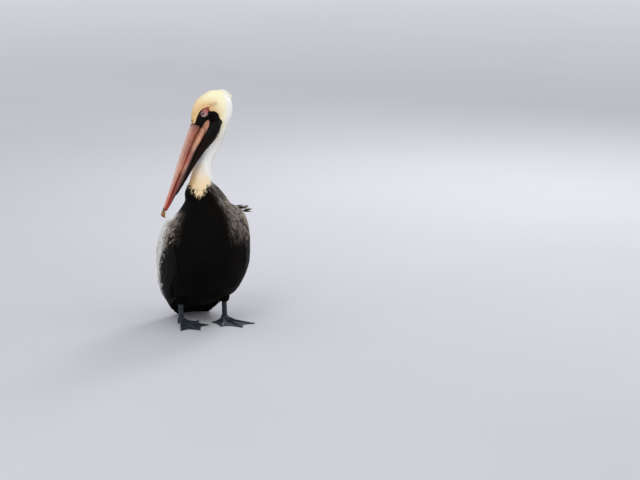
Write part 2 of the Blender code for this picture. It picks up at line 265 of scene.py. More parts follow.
# %% [markdown]
# ## The outer form that the feathers follow
# A bird's outline is the outside of its feathers, and that is what the frame's solids give.
# Copies of all the solids of flesh and feather are grown by less than half a millimetre, so
# that they overlap at their cuts, and remeshed into one closed surface. Feathers could be
# laid on each solid alone, but they would break off at every cut. The surface is a guide
# only: the skin is made from it, every feather is laid along it, and then it is removed.

# %% Guide surface
BODY_NODES = ["trunk", "tail", "neck_lower", "neck_middle", "neck_upper", "head", "pouch"]
BODY_NODES += [part + "_" + side for part in ("wing", "primaries", "thigh") for side in SIDES]
OVERLAP, GUIDE_VOXEL = 0.0004, 0.0029            # metres
guide = copy_of_nodes("guide", BODY_NODES + ["eye_left", "eye_right"], grow=OVERLAP)
apply_modifier(guide, "REMESH", mode="VOXEL", voxel_size=GUIDE_VOXEL)
apply_modifier(guide, "SMOOTH", factor=0.5, iterations=6)
print("guide triangles", triangles(guide))

# %% [markdown]
# The neck turns sharply under the bill, and its solids meet there in a crease at the nape.
# On a live neck long plumes bridge such a crease, and they stand fuller on the side that
# the turned head leaves open. So the crease is averaged away along the mesh's edges, and
# the open side is moved outwards along its own normals.

# %% Ease the nape and fill the open side of the neck
CREASE_HEIGHT, FULL_HEIGHT = 556, 553            # their middles above the floor, mm
FULLNESS = 0.0085                                # metres, where the plumes are fullest
guide_points = read_points(guide)
eased = np.stack([even_out(guide_points[:, k], guide, 16) for k in range(3)], 1)
near_crease = smooth(abs(bird_mm(guide_points)[:, 2] - CREASE_HEIGHT), 34, 12)
near_crease = near_crease * smooth(head_plane(guide_points)[:, 1], -56, -68)
write_points(guide, mix(guide_points, eased, near_crease))
guide_points, guide_normals = read_points(guide), read_points(guide, "normal")
full = smooth(abs(bird_mm(guide_points)[:, 2] - FULL_HEIGHT), 62, 12)
full = full * smooth(guide_normals[:, 0], 0, 0.7)
full = even_out(full * smooth(head_plane(guide_points)[:, 1], -80, -98), guide, 8)
write_points(guide, guide_points + guide_normals * full[:, None] * FULLNESS)

guide_points, guide_normals = read_points(guide), read_points(guide, "normal")
guide_faces = [tuple(face.vertices) for face in guide.data.polygons]
face_normals = np.array([guide_normals[list(face)].mean(0) for face in guide_faces])
face_normals /= np.linalg.norm(face_normals, axis=1)[:, None]
guide_tree = BVHTree.FromPolygons(guide_points.tolist(), guide_faces)


def onto_guide(point):
    """The nearest place on the outer form, and its smoothed outward direction."""
    place, _, face, _ = guide_tree.find_nearest(point)
    return place, Vector(face_normals[face])


print("guide faces", len(guide_faces))

# %% [markdown]
# ## Which part of the bird a point belongs to
# Feathers change in size, colour and lie from part to part. Parts could be marked by hand
# on the mesh, but the solids already know their own names, so the nearest one names the
# part. On the head a ring of corners marks the bare black skin of face and throat. The ring
# is flat on the head's own grid, so both sides of the head get it, but on the far side,
# where the bent neck would carry it too low, a second edge cuts it off.

# %% Name the part under a point
part_points, part_faces, part_names = [], [], []
for number, node in enumerate(BODY_NODES):
    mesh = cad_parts[node].data
    first = len(part_points)
    part_points += [tuple(vertex.co) for vertex in mesh.vertices]
    part_faces += [tuple(first + k for k in face.vertices) for face in mesh.polygons]
    part_names += [number] * len(mesh.polygons)
part_tree = BVHTree.FromPolygons(part_points, part_faces)
part_names = np.array(part_names)


def parts_at(points):
    return part_names[[part_tree.find_nearest(point)[2] for point in points.tolist()]]


def is_part(parts, *names):
    return np.isin(parts, [k for k, node in enumerate(BODY_NODES)
                           if any(node.startswith(name) for name in names)])


# %% Edge of the bare face
FAR_EDGE, FAR_SLOPE = 522, 0.6       # the far side's edge: mm above the floor, rise to the back
FACE_EDGE = np.array(((4, -5), (-6, -4), (-21, -2.5), (-33, -3.5), (-43, -6), (-49, -10.5),
                      (-54.5, -17.5), (-60, -24), (-53, -28), (-48.5, -33), (-53, -43),
                      (-53, -51), (-49.5, -59), (-42.5, -66), (-37.5, -71), (-36.5, -75.5),
                      (-33.5, -80), (-17, -81), (10, -83), (54, -65), (93, -54), (125, -45),
                      (190, -28), (268, -9)), float)


def face_margin(points):
    """Millimetres outside the bare face's edge, negative inside it."""
    flat = head_plane(points)[:, :2]
    inside = np.zeros(len(flat), bool)
    nearest = np.full(len(flat), 1e9)
    for start, end in zip(FACE_EDGE, np.roll(FACE_EDGE, -1, axis=0)):
        run = end - start
        share = np.clip(((flat - start) @ run) / (run @ run), 0, 1)
        nearest = np.minimum(nearest, np.linalg.norm(flat - start - share[:, None] * run, axis=1))
        crosses = (start[1] > flat[:, 1]) != (end[1] > flat[:, 1])
        at = start[0] + (flat[:, 1] - start[1]) * run[0] / (run[1] or 1e-9)
        inside ^= crosses & (flat[:, 0] < at)
    return np.where(inside, -nearest, nearest)


def bareness(points, parts):
    """Millimetres into the feathers from the bare skin; everything else is far away."""
    margin = np.where(is_part(parts, "head", "neck_upper"), face_margin(points), 60.0)
    ground = bird_mm(points)
    low_edge = FAR_EDGE + FAR_SLOPE * (ground[:, 1] + 10)
    far = smooth(-head_plane(points)[:, 2], -4, 8)
    margin = np.maximum(margin, (low_edge - ground[:, 2]) * 0.8 - 60 * (1 - far))
    return np.where(is_part(parts, "pouch"), -5.0, margin)


guide_parts = parts_at(guide_points)
guide_bare = bareness(guide_points, guide_parts)
print("bare skin points", int((guide_bare < 0).sum()))

# %% [markdown]
# ## The markings
# One function gives the colour of the plumage anywhere on the bird, and skin and feathers
# both ask it, so that nothing shows through in the wrong colour. A map painted over the
# whole bird would run across single feathers, and real ones each have a colour of their
# own, so a rule is used instead. It is told where a point is, and how much this one feather
# strays from its neighbours, which turns each border into a row of pointed tips. Borders
# are named by height and by angle round the body, counted from the breast bone towards the
# bird's left.


# %% Plumage colours
WHITE, CREAM, CROWN, OCHRE = ink("#FBFAF6"), ink("#FCE9C4"), ink("#FCF6D2"), ink("#EABF7E")
BREAST, BELLY_IN_SHADE, RUST = ink("#080706"), ink("#060505"), ink("#15100C")
SILVER, PALE_SILVER, TAN, SLATE = (ink(c) for c in ("#A8A39D", "#F1EFEC", "#B39F8E", "#37322E"))
STROKE, THROAT_SHADOW_GREY, QUILL_DARK = ink("#B98A5E"), ink("#C9C2B8"), ink("#0F0D0B")


# %% Where a point lies round the body, and how silver it is there
def round_body(points):
    """Height above the floor, and degrees round the body from the breast bone."""
    x, y, height = bird_mm(points).T
    up_neck = smooth(height, 340, 420)
    angle = np.degrees(np.arctan2(x + 8 * up_neck, 5 - 45 * up_neck - y))
    return height, angle


def silver_share(height, angle, stray):
    """How silver the closed wings and back are; the two wings don't hang alike."""
    right_edge = np.interp(height, (90, 120, 160, 200, 240, 260, 300, 350),
                           (94, 86, 83, 79, 73, 65, 58, 52))
    mottled = 8 + 16 * smooth(height, 250, 300)
    right = smooth(-angle - right_edge + stray * mottled, -4, 5)
    right = right * smooth(height + stray * 14, 98, 132) * smooth(height, 362, 340)
    low_edge = smooth(-angle, 97, 91)
    right = right * np.maximum(low_edge, smooth(height + stray * 10, 145, 165))
    left_low = np.interp(angle, (50, 65, 95, 120, 150, 180), (282, 282, 270, 190, 140, 120))
    left = smooth(angle + stray * 12, 52, 62) * smooth(height - left_low + stray * 18, -6, 10)
    return np.where(angle < 0, right, left)


# %% Colours of the head
def head_colour(points, bare, stray):
    """White with a yellow crown, ochre at the brow and round the bare face."""
    ahead, above, _ = head_plane(points).T
    ground = bird_mm(points)
    rim = np.interp(ahead, (-125, -111, -94, -61, -26), (-46, -53, -63, -76, -88))
    colour = mix(WHITE, CROWN, smooth(above + stray * 8 - rim, -11, 9) * smooth(-ahead, -30, 5))
    brow = smooth(-ahead, 104, 48) * smooth(above, -75, -25) * 0.62
    ring = np.exp(-np.clip(bare, 0, None) / 7) * 0.62
    ring = ring * np.maximum(smooth(above, -84, -66), 0.6 * smooth(above, -170, -120))
    warm = brow + ring + 0.15 * mottle(ground, 22, 3) * smooth(above, -80, -40)
    colour = mix(colour, OCHRE, np.clip(warm, 0, 0.85))
    # A tan stroke runs back and down behind the eye, and a dark spot ends the bill's ridge.
    start, run = np.array((-60, -23.5)), np.array((-13.5, -12.5))
    dx, dy = ahead - start[0], above - start[1]
    share = np.clip((dx * run[0] + dy * run[1]) / (run @ run), 0, 1)
    off = np.hypot(dx - share * run[0], dy - share * run[1])
    colour = mix(colour, STROKE, 0.42 * smooth(off + 2.0 * stray, 9, 1))
    base = np.hypot(ahead + 3, above - 2)
    return mix(colour, STROKE * 0.25, 0.45 * smooth(base, 5, 2))


# %% Colours of body and wings
def body_colour(points, parts, patch, stray):
    """Dark underparts, silver wings and back, and pale streaks on the shoulders."""
    height, angle = round_body(points)
    ground = bird_mm(points)
    # The black is painted a little darker low down towards the belly: painted shade under the body.
    dark = mix(BREAST, BELLY_IN_SHADE, smooth(height, 260, 120))
    dark = mix(dark, RUST, 0.30 * np.clip(patch, 0, 1) + 0.25 * np.clip(stray, 0, 1))

    # The right wing is palest on its side and tan in front; the left one is mostly tan.
    wing = silver_share(height, angle, stray)
    tone = mix(SILVER, PALE_SILVER, smooth(-angle, 58, 78) * smooth(height, 356, 330))
    tone = mix(tone, TAN, smooth(angle, 20, 50) * smooth(-angle, -125, -100) * 0.95)
    tone = mix(tone, TAN, smooth(-angle, 74, 62) * smooth(-angle, 30, 50) * 0.6)
    pale_band = smooth(-angle, 60, 80)
    tone = mix(tone, SLATE, np.clip(0.18 + 0.35 * stray, 0, 1) * (1 - 0.72 * pale_band))
    upper = is_part(parts, "wing", "primaries")
    shoulder = is_part(parts, "trunk") & (angle < -50) & (height > 280)
    colour = mix(dark, tone, wing * (upper | shoulder))

    # The back is silver grey, and darker low down.
    back = smooth(abs(angle), 118, 140) * (is_part(parts, "trunk", "neck", "tail")
                                           | (upper & (abs(angle) > 150)))
    back = back * smooth(height, 95, 135) * np.maximum(smooth(height, 170, 220),
                                                       smooth(ground[:, 1], 98, 112))
    low_back = smooth(height, 262, 235)
    colour = mix(colour, mix(SILVER, SLATE, 0.3 + 0.3 * stray + 0.45 * low_back), back)

    # Pale streaks run down both shoulders and fade towards the neck.
    streak = np.where(angle > 0, smooth(angle, 12, 34) * smooth(height, 262, 318),
                      0.85 * smooth(-angle, 36, 60) * smooth(height, 262, 305)
                      * smooth(height, 366, 338) * (1 - wing))
    streak = streak * ~upper * smooth(stray, -0.25, 0.3) * (abs(angle) < 140)
    streak = streak * (0.5 + 0.5 * np.maximum(smooth(angle, 30, 60), smooth(height, 290, 350)))
    streak = streak * (1 - 0.6 * smooth(height, 388, 412) * smooth(angle, 110, 80))
    return mix(colour, mix(SILVER, TAN, 0.45), streak)


# %% Colours of the neck
def throat_colour(height, angle, patch, border):
    """White with cream down the front and ochre low on the right. Half way down it is grey,
    partly its own and partly painted shadow under the pouch.
    """
    front = (0.6 * smooth(height, 476, 440) + 0.4 * smooth(height, 545, 450))
    front = front * smooth(abs(angle + 35), 125, 60)
    flank = smooth(-angle, 58, 84) * smooth(-angle, 172, 125) * smooth(height, 515, 450)
    low = 0.35 * smooth(height, border + 26, border) * front * smooth(angle, 15, -25)
    ochre = np.clip(0.55 * flank + 0.10 * front * (1 + patch) + low, 0, 0.85)
    colour = mix(mix(WHITE, CREAM, front), OCHRE, ochre)
    # Grey half way down the front: partly the neck's own grey, partly painted shadow under the
    # pouch.
    return mix(colour, THROAT_SHADOW_GREY, 0.25 * smooth(abs(height - 490), 34, 8)
               * smooth(abs(angle + 10), 60, 10))


# %% Colour anywhere on the coat
def plumage(points, parts, bare, stray):
    """Linear colour of the coat at each point; stray is from -1 to 1 for each feather."""
    height, angle = round_body(points)
    patch = mottle(bird_mm(points), 60, 11)
    border = np.interp(angle, (-180, -80, -60, -50, -40, -30, -20, -10, 0, 10, 20, 60, 180),
                       (440, 433, 425, 420, 417, 411, 416, 421, 427, 432, 434, 438, 440))
    pale = smooth(height - border + stray * 9, -1.5, 1.5)
    neck = is_part(parts, "neck", "head")
    throat = throat_colour(height, angle, patch, border)
    top = is_part(parts, "head") | (height > 540)
    throat = np.where((neck & top)[:, None], head_colour(points, bare, stray), throat)
    return mix(body_colour(points, parts, patch, stray), throat, pale * (neck | (height > 395)))


# %% [markdown]
# ## The bare skin of face and pouch
# Round the eye an old bird has a pale pink ring, redder behind and browner above. The rest
# of the face and the whole pouch are black, but horn of the lower bill covers the cheek in
# a wedge. The ring is drawn by distance from its middle, the wedge between two edges.


# %% Bare skin colours
RING_AHEAD, RING_UP = -37.5, -18.0               # the ring's middle on the head's grid, mm
POUCH_BLACK, POUCH_WARM, LORE_BROWN = ink("#070605"), ink("#1C0D05"), ink("#1C1512")
JAW_HORN, JAW_TAN = ink("#C4937A"), ink("#AA7A62")
ORBIT_PALE, ORBIT_ROSE, ORBIT_BROWN = ink("#AE918B"), ink("#B87270"), ink("#8A4638")
ORBIT_TOP = ink("#5A2C1C")


def jaw_horn(points):
    """How much the lower bill's horn covers the cheek: a wedge that points back."""
    ahead, above, _ = head_plane(points).T
    top = np.interp(ahead, (-25, -20, -14, -6, 6), (-39.5, -35, -32, -30, -28))
    low = np.interp(ahead, (-25, -20, -4, 6, 30), (-39.5, -44, -43.7, -42.5, -39.5))
    return (smooth(ahead, -26, -23) * smooth(ahead, 30, 20) * smooth(above, low - 0.9, low + 0.5)
            * smooth(above, top + 0.9, top - 0.5))


def bare_colour(points):
    ahead, above, _ = head_plane(points).T
    dx, dy = ahead - RING_AHEAD, above - RING_UP
    from_eye = np.hypot(dx, dy)
    behind = -0.97 * dx - 0.24 * dy
    ground = bird_mm(points)
    colour = mix(POUCH_BLACK, LORE_BROWN, np.clip(0.3 * smooth(above, -30, -10)
                                                  + 0.3 * mottle(ground, 9, 21), 0, 1))
    colour = mix(colour, POUCH_WARM, 0.75 * smooth(ahead, 5, 45))
    ring = mix(ORBIT_PALE, ORBIT_ROSE, np.clip(smooth(behind, -2, 6)
                                               + 0.15 * mottle(ground, 5, 22), 0, 1))
    ring = mix(ring, ORBIT_BROWN, smooth(from_eye, 9.5, 12.5) * smooth(behind, 2, 7))
    ring = mix(ring, ORBIT_BROWN, 0.5 * np.exp(-((from_eye - 7.2) / 1.1) ** 2))
    ring = mix(ring, ORBIT_TOP, smooth(above, -13, -8.5))
    reach = 10.8 + 13 * smooth(behind / np.maximum(from_eye, 1), 0.72, 0.97)
    colour = mix(colour, ring, smooth(from_eye, reach + 1.0, reach - 1.0))
    horn_tint = mix(JAW_HORN, JAW_TAN, 0.5 + 0.5 * mottle(ground, 8, 23))
    return mix(colour, horn_tint, jaw_horn(points))


# %% [markdown]
# ## One skin under everything
# Real flesh has no seams, so one skin stands for all the solids of flesh. It starts as a
# copy of the outer form and sinks under it by the depth of the coat there: nothing on face
# and pouch, 2 mm on the head, 5 mm on body and wings. Thin places sink less, so that the
# skin never turns inside out. Where it is bare it is cut finer, to carry lids and folds.


# %% Skin: sink it by the coat's depth
def coat_depth(points, parts, bare):
    height = bird_mm(points)[:, 2]
    depth = np.full(len(points), 5.0)
    on_neck = np.interp(height, (400, 450, 560), (5, 3.2, 2.2))
    depth = np.where(is_part(parts, "neck"), on_neck, depth)
    depth = np.where(is_part(parts, "head"), 2.0 * smooth(bare, 0.5, 9), depth)
    depth = np.where(is_part(parts, "pouch"), 0.0, depth)
    depth = np.where(is_part(parts, "tail", "primaries"), 2.2, depth)
    return np.where(is_part(parts, "thigh"), 1.0 + 3.0 * smooth(height, 58, 90), depth)


THICKEST = 0.06                     # metres; a thicker place counts as this


def thickness(points, normals):
    """Millimetres of body behind each point of the outer form."""
    found = []
    for point, normal in zip(points.tolist(), normals.tolist()):
        inward = -Vector(normal)
        hit = guide_tree.ray_cast(Vector(point) + inward * 0.0005, inward, THICKEST)
        found.append((hit[3] if hit[0] else THICKEST) * 1000)
    return np.array(found)


guide_depth = coat_depth(guide_points, guide_parts, guide_bare)
guide_depth = np.minimum(guide_depth, 0.28 * thickness(guide_points, guide_normals))
guide_depth = even_out(guide_depth, guide, 6)

skin = bpy.data.objects.new("skin", guide.data.copy())
bpy.context.scene.collection.objects.link(skin)
write_points(skin, guide_points - guide_normals * (guide_depth / 1000)[:, None])
apply_modifier(skin, "SMOOTH", factor=0.5, iterations=3)


# %% Skin: cut it finer where it is bare, and again round the eyes
LID_PATCH = 12.5                    # mm from the middle of an eye


def mm_from_eyes(points):
    return np.min([np.linalg.norm(points - place, axis=1) for place in EYE.values()], axis=0) * 1000


def cut_finer(obj, chosen):
    in_edit_mode(obj, chosen, lambda: bpy.ops.mesh.subdivide(number_cuts=1, smoothness=1.0))


cut_finer(skin, guide_bare < 5)
cut_finer(skin, mm_from_eyes(read_points(skin)) < LID_PATCH)
print("skin triangles", triangles(skin))

# %% [markdown]
# ## Lids, folds and wrinkles
# The eyeball sits in the skin with a rim of lid round it, so skin inside the opening is
# tucked behind the ball and skin at the rim is raised. The pouch is slack skin that hangs
# in long folds from the lower bill. A bump in the material could draw them, but it leaves
# outlines smooth, so they are moved into the mesh as shallow waves.


# %% Lids round the eyes
EYEBALL = 8.0                       # radius, mm
OPENING = 50.0                      # half angle of the opening between the lids, degrees
LID_RISE, LID_GAP, TUCK = 0.9, 0.15, 2.2   # mm above the ball, clear of it, and behind it
LID_REACH, LID_TURN = 13.5, 88.0    # mm and degrees, past which the skin is left alone


def gaze(sign):
    """The way an eye faces: out to its side, a little ahead and a little up."""
    return LEFT * sign + AHEAD * 0.10 + UP * 0.06


points = read_points(skin)
for side, sign in SIDES.items():
    outward = gaze(sign)
    outward /= np.linalg.norm(outward)
    arm = (points - EYE[side]) * 1000
    reach = np.linalg.norm(arm, axis=1)
    turn = np.degrees(np.arccos(np.clip(arm @ outward / np.maximum(reach, 1e-6), -1, 1)))
    close = (reach < LID_REACH) & (turn < LID_TURN)
    rim = EYEBALL + LID_RISE * np.exp(-((turn - OPENING - 6) / 7) ** 2) + LID_GAP
    rim = np.where(turn < OPENING, EYEBALL - TUCK, rim)
    wanted = np.where(turn < OPENING + 3, rim, np.maximum(reach, rim))
    points[close] = (EYE[side] + arm / np.maximum(reach, 1e-6)[:, None]
                     * wanted[:, None] / 1000)[close]
write_points(skin, points)

# %% Folds of the pouch
FOLD_WIDTH, FOLD_HEIGHT, FINE_FOLDS = 6.5, 0.45, 0.16      # mm
normals = read_points(skin, "normal")
skin_parts = parts_at(points)
skin_bare = bareness(points, skin_parts)
ahead, above, beside = head_plane(points).T
slack = is_part(skin_parts, "pouch") * smooth(ahead, -30, 0) * smooth(ahead, 215, 150)
fold_line = (above + 45 + 0.20 * ahead) / (1 - 0.0026 * np.clip(ahead, 0, 200))
phase = fold_line * 2 * math.pi / FOLD_WIDTH + 0.8 * np.sin(ahead / 23)
folds = FOLD_HEIGHT * np.sin(phase) * slack
folds += FINE_FOLDS * mottle(bird_mm(points), 4.5, 31) * smooth(skin_bare, 1, -2)
folds = folds * (1 - jaw_horn(points)) + 0.8 * jaw_horn(points)
folds *= smooth(mm_from_eyes(points), 9, 14)
write_points(skin, points + normals * (folds / 1000)[:, None])
points = read_points(skin)

# %% Paint the skin, darker than the coat over it, as painted shade
# Where feathered, the skin takes the plumage's colour darkened: painted shade for skin seen between
# feathers.
feathered = plumage(points, skin_parts, skin_bare, np.zeros(len(points))) * 0.72
height, angle = round_body(points)
# Under the quill rows the skin is painted quill-dark: painted shade in the gaps between the quills.
quill_gap_shade = is_part(skin_parts, "wing", "primaries") & (height < 262) & (abs(angle) > 100)
feathered = np.where(quill_gap_shade[:, None], QUILL_DARK, feathered)
paint(skin, mix(feathered, bare_colour(points), smooth(skin_bare, 1.2, -0.6)))
skin.data.shade_smooth()
print("skin box", points.min(0).round(4), points.max(0).round(4))

# %% [markdown]
# Pelican skin is soft and a little greasy: black and matt in its folds, with a broad dull
# gleam where it is stretched. The grain of fine wrinkles is about 1 mm across.

# %% Skin material
skin_finish, tree, shader = new_material("supple_black_pelican_skin", {
    "Roughness": 0.5, "Specular IOR Level": 0.08})
where = add_node(tree, "ShaderNodeTexCoord")
colour = add_node(tree, "ShaderNodeAttribute", {"attribute_name": "tint"})
wrinkle = add_node(tree, "ShaderNodeTexVoronoi", {"Scale": 900.0, "feature": "SMOOTH_F1"},
                   {"Vector": where.outputs["Object"]})
grain = add_node(tree, "ShaderNodeTexNoise", {"Scale": 260.0, "Detail": 4.0},
                 {"Vector": where.outputs["Object"]})
shade = add_node(tree, "ShaderNodeMapRange", {"To Min": 0.8, "To Max": 1.2},
                 {"Value": grain.outputs["Fac"]})
tinted = add_node(tree, "ShaderNodeVectorMath", {"operation": "SCALE"},
                  {0: colour.outputs["Color"], "Scale": shade.outputs["Result"]})
relief = add_node(tree, "ShaderNodeMath", {"operation": "ADD"},
                  {0: wrinkle.outputs["Distance"], 1: grain.outputs["Fac"]})
bump = add_node(tree, "ShaderNodeBump", {"Strength": 0.35, "Distance": 0.0004},
                {"Height": relief.outputs["Value"]})
tree.links.new(tinted.outputs["Vector"], shader.inputs["Base Color"])
tree.links.new(bump.outputs["Normal"], shader.inputs["Normal"])
skin.data.materials.append(skin_finish)
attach(skin, "root")
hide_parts(*BODY_NODES)

# %% [markdown]
# ## What a feather is made of here
# A feather is a thin closed leaf: a ridge along the shaft, two vanes that fall away from it,
# a flat underside, and a point. The root sits down at the skin and the tip comes up to the
# outer form, so that each one lies over the next like a roof tile. A real bird has many
# thousands of them. Hair strands would look like fur, and so many leaves can't be modelled
# by hand, so one outline is repeated in arrays of points, and a mesh is filled all at once.

# %% Feather outlines: share along the shaft, share of the full width
PLUME = ((0.0, 0.45), (0.38, 1.0), (0.74, 0.70))
CONTOUR = ((0.0, 0.40), (0.32, 0.92), (0.64, 1.0), (0.89, 0.62))
COVERT = ((0.0, 0.35), (0.25, 0.85), (0.55, 1.0), (0.80, 0.93), (0.94, 0.55))
QUILL = ((0.0, 0.22), (0.06, 0.55), (0.22, 0.85), (0.45, 1.0), (0.68, 0.98), (0.85, 0.80),
         (0.95, 0.48))
FLOOR_CLEARANCE = 0.0003


def resample(lines, shares):
    """Read each centre line at the given shares of its length."""
    steps = lines.shape[1] - 1
    at = np.asarray(shares) * steps
    low = np.minimum(at.astype(int), steps - 1)
    part = (at - low)[None, :, None]
    return lines[:, low] * (1 - part) + lines[:, low + 1] * part


def joined_mesh(name, points, faces):
    """One object from an array of points and arrays of faces of three or four corners."""
    corners = np.concatenate([group.ravel() for group in faces])
    sizes = np.concatenate([np.full(len(group), group.shape[1]) for group in faces])
    mesh = bpy.data.meshes.new(name)
    mesh.vertices.add(len(points))
    mesh.loops.add(len(corners))
    mesh.polygons.add(len(sizes))
    mesh.vertices.foreach_set("co", points.astype(np.float32).ravel())
    mesh.loops.foreach_set("vertex_index", corners.astype(np.int32))
    mesh.polygons.foreach_set("loop_start", np.cumsum(sizes).astype(np.int32) - sizes)
    mesh.update(calc_edges=True)
    obj = bpy.data.objects.new(name, mesh)
    bpy.context.scene.collection.objects.link(obj)
    return obj


def add_uv(obj, name, per_point):
    layer = obj.data.uv_layers.new(name=name)
    corners = np.empty(len(obj.data.loops), np.int32)
    obj.data.loops.foreach_get("vertex_index", corners)
    layer.data.foreach_set("uv", per_point[corners].astype(np.float32).ravel())


# %% Build a whole piece of feathers at once
def lay_feathers(name, lines, ups, width, outline, colours, islands, level=0.0, sink=0.0,
                 lift=0.0, droop=0.18, vanes=(1.0, 1.0), island_size=(0.003, 0.003)):
    """Sizes in mm. colours are (shaft, vane, tip); islands are places in the bake map."""
    count, rows = len(lines), len(outline)
    shares = np.array([share for share, _ in outline] + [1.0])
    spine, up = resample(lines, shares), resample(ups, shares)
    up /= np.linalg.norm(up, axis=2)[:, :, None]
    along = np.gradient(spine, axis=1)
    along /= np.maximum(np.linalg.norm(along, axis=2), 1e-9)[:, :, None]
    left = np.cross(up, along)
    half = np.broadcast_to(np.asarray(width, float) / 2, (count,))[:, None]
    half = half * np.array([size for _, size in outline])[None, :]
    level, sink, lift = (np.broadcast_to(np.asarray(v, float), (count,))[:, None]
                         for v in (level, sink, lift))
    height = level - sink * (1 - shares) ** 1.2 + lift * shares ** 2
    spine = spine + up * (height / 1000)[:, :, None]
    middle = spine[:, :rows] + up[:, :rows] * ((0.10 + 0.05 * half) / 1000)[:, :, None]
    fall = up[:, :rows] * (half * droop / 1000)[:, :, None]
    reach = left[:, :rows] * (half / 1000)[:, :, None]
    block = np.stack((middle + reach * vanes[0] - fall, middle,
                      middle - reach * vanes[1] - fall), axis=2).reshape(count, rows * 3, 3)
    points = np.concatenate((block, spine[:, rows:]), axis=1)
    points[:, :, 2] = np.maximum(points[:, :, 2], FLOOR_CLEARANCE)

    k = np.arange(rows - 1) * 3
    last, tip = rows * 3 - 3, rows * 3
    four = np.concatenate([np.stack(c, 1) for c in (
        (k, k + 1, k + 4, k + 3), (k + 1, k + 2, k + 5, k + 4), (k + 3, k + 5, k + 2, k))])
    three = np.array(((last, last + 1, tip), (last + 1, last + 2, tip), (tip, last + 2, last),
                      (0, 2, 1)))
    first = (np.arange(count) * (tip + 1))[:, None, None]
    obj = joined_mesh(name, points.reshape(-1, 3), [(four[None] + first).reshape(-1, 4),
                                                    (three[None] + first).reshape(-1, 3)])
    obj.data.shade_smooth()
    obj.data.set_sharp_from_angle(angle=math.radians(60))

    shaft, vane, end = (np.broadcast_to(c, (count, 3)) for c in colours)
    fade = smooth(shares, 0.55, 1.0)
    # Each feather is painted darker towards its root: painted shade where it lies under its
    # neighbours.
    root_shade = (0.72 + 0.28 * smooth(shares, 0.0, 0.5))[None, :, None]
    down_shaft = mix(shaft[:, None], end[:, None], fade[None]) * root_shade
    down_vane = mix(vane[:, None], end[:, None], fade[None]) * root_shade
    tint = np.stack((down_vane[:, :rows], down_shaft[:, :rows], down_vane[:, :rows]), axis=2)
    tint = np.concatenate((tint.reshape(count, rows * 3, 3), down_shaft[:, rows:]), axis=1)
    paint(obj, tint.reshape(-1, 3))

    across = np.tile((0.0, 0.5, 1.0), rows).tolist() + [0.5]
    down = np.append(np.repeat(shares[:rows], 3), 1.0)
    across = np.broadcast_to(across, (count, tip + 1))
    down = np.broadcast_to(down, (count, tip + 1))
    length = np.linalg.norm(np.diff(spine, axis=1), axis=2).sum(1)[:, None] * 10
    wide = np.broadcast_to(np.asarray(width, float), (count,))[:, None] / 100
    add_uv(obj, "vane", np.stack(((across - 0.5) * wide + 0.5, down * length), 2).reshape(-1, 2))
    patch = np.stack((across - 0.5, down - 0.5), 2) * np.array(island_size)
    add_uv(obj, "OFBake", (islands[:, None, :] + patch).reshape(-1, 2))
    return obj


# %% [markdown]
# ## The feather finish
# Keratin barbs lie side by side at a steep angle to the shaft. They are finer than can be
# seen, so they are drawn about 0.7 mm apart. The shaft is a smooth paler or darker line.
# Down and head plumes are matt with a soft sheen; quills are smoother and catch the light.


# %% Feather materials
def feather_finish(name, roughness, gloss, sheen, shaft_gain, barb_depth):
    material, tree, shader = new_material(name, {
        "Roughness": roughness, "Specular IOR Level": gloss, "Sheen Weight": sheen,
        "Sheen Roughness": 0.5})
    tint = add_node(tree, "ShaderNodeAttribute", {"attribute_name": "tint"})
    place = add_node(tree, "ShaderNodeUVMap", {"uv_map": "vane"})
    axes = add_node(tree, "ShaderNodeSeparateXYZ", links={0: place.outputs["UV"]})
    off = add_node(tree, "ShaderNodeMath", {"operation": "SUBTRACT", 1: 0.5},
                   {0: axes.outputs["X"]})
    off = add_node(tree, "ShaderNodeMath", {"operation": "ABSOLUTE"}, {0: off.outputs["Value"]})
    slant = add_node(tree, "ShaderNodeMath", {"operation": "MULTIPLY_ADD", 1: -1.6},
                     {0: off.outputs["Value"], 2: axes.outputs["Y"]})
    barb = add_node(tree, "ShaderNodeMath", {"operation": "MULTIPLY", 1: 2 * math.pi / 0.007},
                    {0: slant.outputs["Value"]})
    barb = add_node(tree, "ShaderNodeMath", {"operation": "SINE"}, {0: barb.outputs["Value"]})
    fray = add_node(tree, "ShaderNodeTexNoise", {"Scale": 110.0, "Detail": 3.0},
                    {"Vector": place.outputs["UV"]})
    wave = add_node(tree, "ShaderNodeMath", {"operation": "MULTIPLY_ADD", 1: 0.5},
                    {0: barb.outputs["Value"], 2: fray.outputs["Fac"]})
    shade = add_node(tree, "ShaderNodeMapRange", {"From Min": -0.2, "From Max": 1.2,
                                                  "To Min": 1 - barb_depth,
                                                  "To Max": 1 + barb_depth},
                     {"Value": wave.outputs["Value"]})
    shaft = add_node(tree, "ShaderNodeMapRange", {"From Min": 0.002, "From Max": 0.007,
                                                  "To Min": shaft_gain, "To Max": 1.0},
                     {"Value": off.outputs["Value"]})
    gain = add_node(tree, "ShaderNodeMath", {"operation": "MULTIPLY"},
                    {0: shade.outputs["Result"], 1: shaft.outputs["Result"]})
    tinted = add_node(tree, "ShaderNodeVectorMath", {"operation": "SCALE"},
                      {0: tint.outputs["Color"], "Scale": gain.outputs["Value"]})
    bump = add_node(tree, "ShaderNodeBump", {"Strength": 0.3, "Distance": 0.00025},
                    {"Height": wave.outputs["Value"]})
    tree.links.new(tinted.outputs["Vector"], shader.inputs["Base Color"])
    tree.links.new(bump.outputs["Normal"], shader.inputs["Normal"])
    return material


PLUSH = feather_finish("plush_head_plumes", 0.75, 0.2, 0.2, 1.0, 0.05)
BODY_PLUMES = feather_finish("loose_body_plumes", 0.6, 0.035, 0.0, 1.5, 0.16)
VANES = feather_finish("firm_wing_vanes", 0.5, 0.10, 0.0, 0.6, 0.08)

